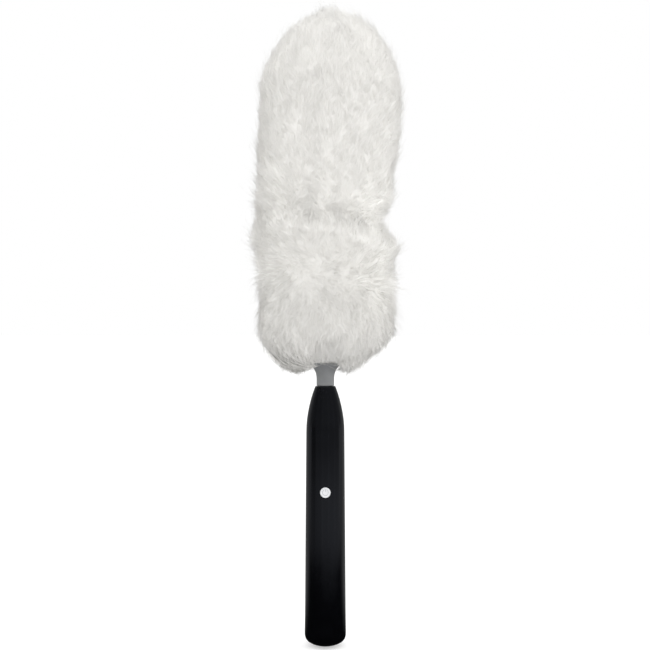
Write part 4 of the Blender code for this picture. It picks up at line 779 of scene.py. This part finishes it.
def shaped(grid):
    """The grid with its tufts, its two tiers, its lower crown and the front of its foot off the collar."""
    grid = tufted(grid)
    edge = grid[..., 2] + LIP_SLOPE * grid[..., 0] - TIER_EDGE
    lip = bell(edge, *LIP) - LIP_HOLLOW_SHARE * bell(edge, *LIP_HOLLOW)
    reach = LIP_REACH * lip * smooth_step(-grid[..., 1] / LIP_DEPTH)
    reach -= PARTING_DEPTH * bell(grid[..., 2], PARTING_HEIGHT, PARTING_WIDTH)
    grid = grid + sideways_of(grid) * reach[..., None]
    grid[..., 2] -= DOME_DROP * smooth_step((grid[..., 2] - DOME_START) / (DOME_TIP - DOME_START))
    front = smooth_step(-grid[..., 1] / LIFT_DEPTH)
    low = smooth_step((LIFT_TOP - grid[..., 2]) / (LIFT_TOP - LIFT_BOTTOM))
    grid[..., 2] += LIFT * front * low * np.exp(-(grid[..., 0] / LIFT_WIDTH) ** 4)
    return grid


def unit(vectors):
    """Vectors scaled to length one."""
    return vectors / np.maximum(np.linalg.norm(vectors, axis=-1, keepdims=True), 1e-9)


def flattened(vectors, normal):
    """Vectors without their part along a normal."""
    return vectors - normal * np.sum(vectors * normal, axis=-1, keepdims=True)


def sideways_of(grid):
    """Level directions of length one from the wand's axis to each point."""
    return unit(grid * (1.0, 1.0, 0.0))


def grid_frame(grid):
    """Outward normals and upward tangents of a grid."""
    across = np.roll(grid, -1, axis=1) - np.roll(grid, 1, axis=1)
    along = np.gradient(grid, axis=0)
    normal = unit(np.cross(across, along))
    normal[-1] = (0.0, 0.0, 1.0)
    return normal, unit(flattened(along, normal))


def noise_at(points, size, shift):
    """Smooth noise between -1 and 1 at each point, in features of one size, shifted to be unlike others."""
    away = Vector((shift, -shift, shift * 0.5))
    return np.array([noise.noise(Vector(point) / size + away) for point in points.reshape(-1, 3)])


def spaced_points(points, spacing):
    """Indices of shuffled points that keep about one spacing from each other."""
    cells = set()
    kept = []
    for index in random.permutation(len(points)):
        key = tuple(np.floor(points[index] / spacing).astype(int))
        if key not in cells:
            cells.add(key)
            kept.append(index)
    return np.array(kept)


def lie_of(points, normal, upward):
    """Directions along the surface in which locks at these points lie, shorter where the pile stands up."""
    flow = np.interp(points[:, 2] + FLOW_SLOPE * points[:, 0], *zip(*FLOW))
    swirl = SWIRL * noise_at(points, SWIRL_SIZE, SWIRL_SHIFT) + WILDNESS * random.normal(size=len(points))
    lie = upward * flow[:, None] + np.cross(normal, upward) * swirl[:, None] * SIDEWAYS
    return lie / np.maximum(np.linalg.norm(lie, axis=1, keepdims=True), STANDING)


def nearest(centres, points, count):
    """Indices of the nearest centres to each point."""
    tree = KDTree(len(centres))
    for index, centre in enumerate(centres):
        tree.insert(centre, index)
    tree.balance()
    return np.array([[found[1] for found in tree.find_n(point, count)] for point in points])


def raise_locks(points, normal, centres, lies, heights):
    """Height of overlapping locks over each point of the skin, each rising to its tip and round across."""
    near = nearest(centres, points, LOCKS_NEAR)
    best = np.zeros(len(points))
    for slot in range(near.shape[1]):
        chosen = near[:, slot]
        offset = points - centres[chosen]
        along = np.sum(offset * lies[chosen], axis=1)
        away = flattened(offset - along[:, None] * lies[chosen], normal)
        across = np.linalg.norm(away, axis=1)
        run = np.clip(along / LOCK_LENGTH + 0.5, 0.0, 1.0)
        narrow = LOCK_WIDTH * (1.0 - LOCK_NARROWING * run ** 2)
        round_off = np.clip(1.0 - (across / narrow) ** 2, 0.0, 1.0)
        rise = heights[chosen] * (LOCK_RISE[0] + LOCK_RISE[1] * run) * round_off
        tip = 1.0 - np.clip((along / LOCK_LENGTH - LOCK_TIP[0]) / LOCK_TIP[1], 0.0, 1.0)
        best = np.maximum(best, rise * tip)
    return best


def lining_rows(foot):
    """Rings that close the skin inside, from the tip of the fabric backing down to the foot's first row."""
    turns = 2 * math.pi * np.arange(SKIN_COLUMNS) / SKIN_COLUMNS
    ring = np.stack([np.cos(turns), np.sin(turns), np.zeros(SKIN_COLUMNS)], axis=-1)
    rows = [ring * LINING_TIP + (0.0, 0.0, LINING_TOP)]
    for height in np.linspace(LINING_TOP, LINING_BOTTOM, LINING_ROWS):
        rows.append(ring * LINING_RADIUS + (0.0, 0.0, height))
    rows.append((rows[-1] + foot) / 2)
    return np.array(rows)


def add_tint_and_shade(piece, values):
    """A number for each point, random tone with painted shade, which the pile's material reads."""
    layer = piece.data.attributes.new("tint_and_shade", "FLOAT", "POINT")
    layer.data.foreach_set("value", np.asarray(values, dtype=np.float32))


def add_map(piece, places):
    """A UV place for each corner, in a map named OFBake."""
    layer = piece.data.uv_layers.new(name="OFBake")
    layer.uv.foreach_set("vector", np.asarray(places, dtype=np.float32).ravel())


def make_skin(material):
    """The pile's skin: its own shape drawn in a little, with locks raised on it."""
    grid = pile_surface()
    normal, upward = grid_frame(grid)
    points = grid.reshape(-1, 3)
    flat_normal = normal.reshape(-1, 3)
    chosen = spaced_points(points, LOCK_SPACING)
    centres = points[chosen]
    lies = lie_of(centres, flat_normal[chosen], upward.reshape(-1, 3)[chosen])
    heights = LOCK_HEIGHT * random.uniform(*LOCK_HEIGHTS, len(centres))
    rise = raise_locks(points, flat_normal, centres, lies, heights)
    ripple = sum(depth * noise_at(points, size, shift) for depth, size, shift in RIPPLES)
    raised = (rise + ripple - SKIN_DEPTH)[:, None] * flat_normal
    skin = smooth_grid((points + raised).reshape(grid.shape), 1)
    shell = np.vstack([lining_rows(skin[0]), skin])
    bands = len(shell) - 1
    rows, columns = np.meshgrid(np.arange(bands), np.arange(SKIN_COLUMNS), indexing="ij")
    after = (columns + 1) % SKIN_COLUMNS
    low = rows * SKIN_COLUMNS
    quads = np.stack([low + columns, low + after, low + SKIN_COLUMNS + after,
                      low + SKIN_COLUMNS + columns], axis=-1).reshape(-1, 4)
    piece = add_mesh("pile_skin", shell.reshape(-1, 3), quads, material)
    tint_and_shade = np.zeros(len(shell) * SKIN_COLUMNS)
    # Painted shade: the skin between the fibres is darker than the fibres, and darker low on the pile
    tint_and_shade[-len(points):] = shaded_paleness(points) * SKIN_PAINTED_SHADE
    add_tint_and_shade(piece, np.clip(tint_and_shade, 0.0, 1.0))
    across = np.stack([columns, columns + 1, columns + 1, columns], axis=-1) / SKIN_COLUMNS
    along = np.stack([rows, rows, rows + 1, rows + 1], axis=-1) / bands
    add_map(piece, np.stack([across, along], axis=-1))
    return piece, Pile(skin, normal, centres, lies)


def shaded_paleness(points):
    """How pale the pile is at each point, all painted shade: greyer low on the lower tier and below a line
    across the front, deepest at its left foot.
    """
    x, y, z = points.T
    front = smooth_step((SHADE_EDGE[0] - y) / SHADE_EDGE[1])
    shade = smooth_step((np.interp(x, *zip(*SHADE_LINE)) - z) / SHADE_RUN) * front
    return np.interp(z, *zip(*SHADED_PALENESS)) - SHADE_DEPTH * shade


def trim(points):
    """The share of their length that fibres keep at each point."""
    x, y, z = points.T
    height, width, share = NOTCH
    return (1.0 - share * (x > 0.0) * bell(np.hypot(y / 2, z - height), 0.0, width))[:, None]


class Pile:
    """The skin that fibres grow on: its places, its smooth normals and its locks."""

    def __init__(self, skin, smooth_normal, centres, lies):
        self.skin = skin
        self.smooth_normal = smooth_normal
        self.normal = grid_frame(skin)[0]
        self.centres = centres
        self.lies = lies
        step = np.roll(skin, -1, axis=1)[:-1] - skin[:-1]
        self.area = np.linalg.norm(np.cross(step, skin[1:] - skin[:-1]), axis=-1)

    def sample(self, count, weight=1.0):
        """Roots spread evenly over the skin, or by weight, with their normals and the way they lie."""
        share = (self.area * weight).ravel()
        chosen = random.choice(share.size, size=count, p=share / share.sum())
        row, column = np.divmod(chosen, SKIN_COLUMNS)
        after = (column + 1) % SKIN_COLUMNS
        u = random.random((count, 1))
        v = random.random((count, 1))

        def spot(values):
            low = values[row, column] * (1 - u) + values[row, after] * u
            high = values[row + 1, column] * (1 - u) + values[row + 1, after] * u
            return low * (1 - v) + high * v

        root = spot(self.skin)
        out = unit(spot(self.normal))
        lit = unit(spot(self.smooth_normal) + LIT_SHARE * out)
        lie = flattened(self.lies[nearest(self.centres, root, 2)].mean(axis=1), out)
        return root, out, lit, lie


def off_collar(points):
    """Points kept above the collar's rim in front, off the collar all round and near the frame's own box."""
    near = np.abs(points[:, 0]) < RIM_VIEW
    points[near, 2] = np.maximum(points[near, 2], REAR_CLEAR)
    low = near & (points[:, 1] < 0.0) & (points[:, 2] < RIM_CLEAR)
    points[low, 2] = RIM_CLEAR + RIM_SPREAD * (points[low, 2] - RIM_CLEAR) ** 2
    corners = np.array(cad_box)
    return np.clip(points, corners[0] - ROOM_ROUND, corners[1] + ROOM_ROUND)


def between(values, limits):
    """Which values lie between two limits."""
    return (values > limits[0]) & (values < limits[1])


def drawn(limits, count):
    """A random number between two limits for each of a count."""
    return random.uniform(*limits, (count, 1))


def wisps_of(root):
    """The fibres that lead a wisp, and the wisp that each fibre belongs to."""
    leaders = spaced_points(root, WISP_SPACING)
    return leaders, nearest(root[leaders], root, 1)[:, 0]


def swung(lie, out, swing, stand):
    """The way each fibre leans: as its lock lies, swung sideways and stood up by random amounts."""
    count = len(lie)
    aside = lie + np.cross(out, lie) * random.normal(scale=swing, size=(count, 1))
    return unit(out * drawn(stand, count) + aside)


def make_fibres(pile, material):
    """Tapered fibres in wisps all over the skin, each wisp drawn to its own tip."""
    count = FIBRE_COUNT
    root, out, lit, lie = pile.sample(count)
    leaders, wisp_of = wisps_of(root)
    wisps = len(leaders)
    reach = FIBRE_LENGTH * trim(root)
    way = swung(lie[leaders], out[leaders], WISP_SWING, WISP_STAND)
    wisp_tip = root[leaders] + way * reach[leaders] * drawn(WISP_LENGTHS, wisps)
    wisp_tint = random.normal(scale=WISP_TINT, size=wisps)

    way = swung(lie, out, FIBRE_SWING, FIBRE_STAND)
    long_ones = random.random((count, 1)) < LONG_SHARE
    own = root + way * reach * drawn(FIBRE_LENGTHS, count) * np.where(long_ones, LONG_REACH, 1.0)
    pull = drawn(FIBRE_PULL, count) * np.where(long_ones, LONG_PULL, 1.0)
    tip = off_collar(own * (1 - pull) + wisp_tip[wisp_of] * pull)
    length = np.linalg.norm(tip - root, axis=1, keepdims=True)
    middle = off_collar(root + out * length * FIBRE_RISE + (tip - root) * FIBRE_RUN)
    order = np.argsort(root[:, 2])
    pieces = []
    for start in range(0, count, FIBRES_PER_PIECE):
        part = order[start:start + FIBRES_PER_PIECE]
        curve = (root[part] - out[part] * FIBRE_DEPTH, middle[part], tip[part])
        name = f"pile_fibres_{len(pieces) + 1}"
        # Painted shade by height and below the shade line, with a random tone for each wisp
        tint_and_shade = shaded_paleness(root[part]) + wisp_tint[wisp_of[part]]
        pieces.append(fibre_mesh(name, curve, lit[part], tint_and_shade, FIBRE_WIDTH, FIBRE_RINGS, material))
    return pieces


def make_strays(pile, material):
    """Long fine fibres that wander over the pile, more of them near its foot."""
    height = pile.skin[:-1, :, 2]
    root, out, lit, lie = pile.sample(STRAY_COUNT, 1.0 + STRAY_CROWD * (height < STRAY_LOW))
    bend = random.choice((-1.0, 1.0), (STRAY_COUNT, 1)) * drawn(STRAY_BEND, STRAY_COUNT)
    reach = STRAY_LENGTH * drawn(STRAY_LENGTHS, STRAY_COUNT)
    first, last = STRAY_STAND
    way = unit(out * last + lie + np.cross(out, lie) * bend)
    middle = off_collar(root + unit(out * first + lie) * reach / 2)
    tip = off_collar(root + way * reach)
    curve = (root, middle, tip)
    # Painted shade by height and below the shade line
    return fibre_mesh("pile_strays", curve, lit, shaded_paleness(root), STRAY_WIDTH, LONG_RINGS, material)


def make_fringe(pile, material):
    """Short wisps that hang down beside the collar."""
    x, y, z = np.moveaxis(pile.skin[:-1], -1, 0)
    beside = between(np.abs(x), FRINGE_BAND) & (y < FRINGE_REAR) & (z < FRINGE_TOP)
    root, out, lit, _ = pile.sample(FRINGE_COUNT, beside.astype(float))
    leaders, wisp_of = wisps_of(root)
    lean = random.normal(scale=FRINGE_LEAN, size=(len(leaders), 3))
    lean[:, 2] = -1.0
    reach = FRINGE_LENGTH * drawn(FRINGE_LENGTHS, len(leaders))
    wisp_tip = root[leaders] + unit(lean) * reach
    scatter = random.normal(scale=FRINGE_SCATTER, size=root.shape)
    tip = off_collar(root * (1 - FRINGE_PULL) + wisp_tip[wisp_of] * FRINGE_PULL + scatter)
    middle = off_collar((root + tip) / 2 + out * FRINGE_SWELL)
    curve = (root, middle, tip)
    # Painted shade by height and below the shade line
    return fibre_mesh("pile_fringe", curve, lit, shaded_paleness(root), FIBRE_WIDTH, FRINGE_RINGS, material)


def make_strands(pile, material):
    """Long pale fibres swept across the front of the left foot to the collar's rim."""
    x, y, z = np.moveaxis(pile.skin[:-1], -1, 0)
    foot = between(x, STRAND_ACROSS) & (y < 0.0) & between(z, STRAND_HEIGHTS)
    root, _, lit, _ = pile.sample(STRAND_COUNT, foot.astype(float))
    share = drawn(STRAND_SHARES, STRAND_COUNT)
    scatter = random.normal(scale=STRAND_SCATTER, size=(STRAND_COUNT, 3))
    ends = root * (1 - share) + np.array(STRAND_END) * share + scatter
    places = pile.skin.reshape(-1, 3)
    normals = pile.smooth_normal.reshape(-1, 3)
    lift = STRAND_LIFT * drawn(STRAND_LIFTS, STRAND_COUNT)
    landed = nearest(places, ends, 1)[:, 0]
    halfway = nearest(places, (root + ends) / 2, 1)[:, 0]
    tip = off_collar(places[landed] + normals[landed] * lift)
    middle = off_collar(places[halfway] + normals[halfway] * lift * STRAND_ARCH[1])
    curve = (root + lit * lift * STRAND_ARCH[0], middle, tip)
    return fibre_mesh("pile_strands", curve, lit, np.ones(STRAND_COUNT), STRAND_WIDTH, LONG_RINGS, material)


def fibre_mesh(name, curve, lit, tint_and_shade, width, rings, material):
    """Fibres as closed three-sided tapers along curves from root through middle to tip."""
    root, middle, tip = curve
    count = len(root)
    along = unit(tip - root)
    first = unit(np.cross(along, lit + FIBRE_ASIDE))
    second = np.cross(along, first)
    spin = FACE_OUT + random.normal(scale=FIBRE_TWIST, size=(count, 1))
    half = width / 2 * drawn(FIBRE_WIDTHS, count)
    points = []
    shades = []
    normals = []
    for ring in range(rings):
        t = ring / rings
        centre = root * (1 - t) ** 2 + middle * 2 * t * (1 - t) + tip * t ** 2
        for side in range(FIBRE_SIDES):
            angle = spin + 2 * math.pi * side / FIBRE_SIDES
            outward = first * np.cos(angle) + second * np.sin(angle)
            points.append(centre + outward * half * (1 - FIBRE_TAPER * t))
            shades.append(tint_and_shade)
            normals.append(unit(outward + lit * FIBRE_SOFTNESS))
    points.append(tip)
    shades.append(tint_and_shade)
    normals.append(unit(along + lit))
    faces, places = fibre_pattern(rings)
    per = len(points)
    every = (faces[None] + (np.arange(count) * per)[:, None, None]).reshape(-1, 3)
    piece = add_mesh(name, np.stack(points, axis=1).reshape(-1, 3), every, material)
    add_tint_and_shade(piece, np.clip(np.stack(shades, axis=1), 0.0, 1.0).ravel())
    cells = math.ceil(math.sqrt(count))
    corner = np.stack(np.divmod(np.arange(count), cells), axis=-1)[:, None, None]
    add_map(piece, (corner + places[None]) / cells)
    piece.data.normals_split_custom_set_from_vertices(np.stack(normals, axis=1).reshape(-1, 3))
    return piece


def fibre_pattern(rings):
    """Faces of one fibre, and each corner's place in a unit square."""
    faces = [(2, 1, 0)]
    places = [MAP_ROOT]
    for side in range(FIBRE_SIDES):
        after = (side + 1) % FIBRE_SIDES
        left = (side + MAP_GAP) / FIBRE_SIDES
        right = (side + 1.0 - MAP_GAP) / FIBRE_SIDES
        for ring in range(rings):
            low, high = ring * FIBRE_SIDES, (ring + 1) * FIBRE_SIDES
            bottom = MAP_START + MAP_RUN * ring / rings
            top = MAP_START + MAP_RUN * (ring + 1) / rings
            if ring == rings - 1:
                faces.append((low + side, low + after, high))
                places.append(((left, bottom), (right, bottom), ((left + right) / 2, top)))
            else:
                faces.append((low + side, low + after, high + after))
                places.append(((left, bottom), (right, bottom), (right, top)))
                faces.append((low + side, high + after, high + side))
                places.append(((left, bottom), (right, top), (left, top)))
    return np.array(faces), np.array(places)


def make_studio():
    """Camera, white backdrop, a soft lamp in front and plain soft light all round."""
    scene = bpy.context.scene
    scene.view_settings.view_transform = "Standard"
    lens = bpy.data.cameras.new("camera")
    lens.sensor_width = SENSOR_WIDTH * 1000
    lens.lens = SENSOR_WIDTH * 1000 * CAMERA_DISTANCE / (FRAME_PIXELS * PIXEL)
    lens.clip_end = 100.0
    camera = linked("camera", lens)
    camera.location = ((FRAME_PIXELS / 2 - AXIS_PIXEL) * PIXEL, -CAMERA_DISTANCE,
                       (FOOT_PIXEL - FRAME_PIXELS / 2) * PIXEL)
    camera.rotation_euler = (math.pi / 2, 0.0, 0.0)
    scene.camera = camera

    for turn, level in SOFTBOX_LEVELS:
        lamp = make_softbox(turn, SOFTBOX_DISTANCE, SOFTBOX_HEIGHT, SOFTBOX_SIZE, level)
        lamp.visible_glossy = False
    for height, size, level in GLOSS_PANELS:
        for turn, share in GLOSS_TURNS:
            lamp = make_softbox(turn, GLOSS_DISTANCE, height, (GLOSS_WIDTH, size), level * share)
            lamp.visible_diffuse = False
            lamp.visible_transmission = False
    make_world(scene)
    make_floor()


def make_softbox(degrees, distance, height, size, level):
    """A soft lamp that stands in front of the wand, turned round it by an angle."""
    turn = math.radians(degrees)
    softbox = bpy.data.lights.new("softbox", "AREA")
    softbox.shape = "RECTANGLE"
    softbox.size, softbox.size_y = size
    softbox.energy = level * math.pi * softbox.size * softbox.size_y
    lamp = linked("softbox", softbox)
    lamp.location = (distance * math.sin(turn), -distance * math.cos(turn), height)
    lamp.rotation_euler = (math.pi / 2, 0.0, turn)
    lamp.visible_camera = False
    return lamp


def facing_level(tree, direction, way, low, high, least, most):
    """A level that rises from least to most as a direction turns to face a way."""
    share = node_of(tree, "VectorMath", {0: direction, 1: way}, operation="DOT_PRODUCT")
    return map_range(tree, share.outputs["Value"], low, high, least, most)


def combined(tree, operation, first, second):
    """Two numbers added, or the greater of them."""
    return node_of(tree, "Math", {0: first, 1: second}, operation=operation).outputs["Value"]


def is_seen(tree, path):
    """1 for a ray from the camera or through glass, and 0 for any other."""
    return combined(tree, "MAXIMUM", path.outputs["Is Camera Ray"], path.outputs["Is Transmission Ray"])


def mix_numbers(tree, factor, first, second):
    """The first number where the factor is 0 and the second where it is 1."""
    values = {"Factor": factor, "A": first, "B": second}
    return node_of(tree, "Mix", values, data_type="FLOAT").outputs["Result"]


def make_world(scene):
    """Even light for the object, a white backdrop for the camera, and the same backdrop in gloss."""
    world = bpy.data.worlds.new("studio")
    world.use_nodes = True
    scene.world = world
    tree = world.node_tree
    path = node_of(tree, "LightPath")
    direction = node_of(tree, "TexCoord").outputs["Generated"]
    light = facing_level(tree, direction, ROOM_WAY, -1.0, 1.0, *ROOM_LIGHT)
    gloss = facing_level(tree, direction, REARWARDS, *ROOM_RUN, *ROOM_GLOSS)
    level = mix_numbers(tree, path.outputs["Is Glossy Ray"], light, gloss)
    level = mix_numbers(tree, is_seen(tree, path), level, 1.0)
    set_inputs(tree, tree.nodes["Background"], {"Color": (1.0, 1.0, 1.0, 1.0), "Strength": level})


def make_floor():
    """A white floor that keeps the wand's soft shadow. In gloss it is as bright as the room."""
    made, tree, shader = new_material("floor_white", (0.86, 0.86, 0.86), 0.9, specular=0.0)
    path = node_of(tree, "LightPath")
    glossy = path.outputs["Is Glossy Ray"]
    place = node_of(tree, "TexCoord").outputs["Object"]
    behind = facing_level(tree, place, REARWARDS, *BEHIND, *ROOM_GLOSS)
    before = facing_level(tree, place, BEFORE_WAY, *BEFORE, 0.0, BEFORE_GLOSS)
    level = mix_numbers(tree, glossy, 0.0, combined(tree, "ADD", behind, before))
    level = mix_numbers(tree, is_seen(tree, path), level, FLOOR_GLOW)
    glow = node_of(tree, "Emission", {"Strength": level}).outputs["Emission"]
    set_inputs(tree, shader, {"Base Color": mix_numbers(tree, glossy, FLOOR_COLOUR, 0.0)})
    both = node_of(tree, "AddShader", {0: shader.outputs["BSDF"], 1: glow}).outputs["Shader"]
    set_inputs(tree, tree.nodes["Material Output"], {"Surface": both})
    corners = [(x * FLOOR_REACH, y * FLOOR_REACH, FLOOR_HEIGHT)
               for x, y in ((-1, -1), (1, -1), (1, 1), (-1, 1))]
    add_mesh("floor", corners, [(0, 1, 2, 3)], made, smooth=False)


def dress_nodes(finishes):
    """Give every carried-over node the finish of its slot."""
    slots = {part["node"]: part["material_slot"] for part in frame["record"]["subparts"]}
    for name, node in frame["nodes"].items():
        node.data.materials.clear()
        node.data.materials.append(finishes[slots[name]])


def main():
    """Build the looks."""
    finishes = make_materials()
    dress_nodes(finishes)
    make_studio()
    for name, node, sides, body, finish, profile in SHELLS:
        place(rounded_copy(name, node, sides, finishes[finish], profile), body, finish, node)
    skin, pile = make_skin(finishes["pile"])
    place(skin, "duster_head", "pile", "fibre_pile")
    fur = make_fibres(pile, finishes["pile"])
    fur += [make(pile, finishes["pile"]) for make in (make_strays, make_strands, make_fringe)]
    for piece in fur:
        place(piece, "duster_head", "pile")
    make_button(finishes)
    make_screws(finishes["steel"])
    make_cells(finishes)
    make_grip_ring(finishes["seal_rubber"])
    make_seam_tongues(finishes["casing"])


main()
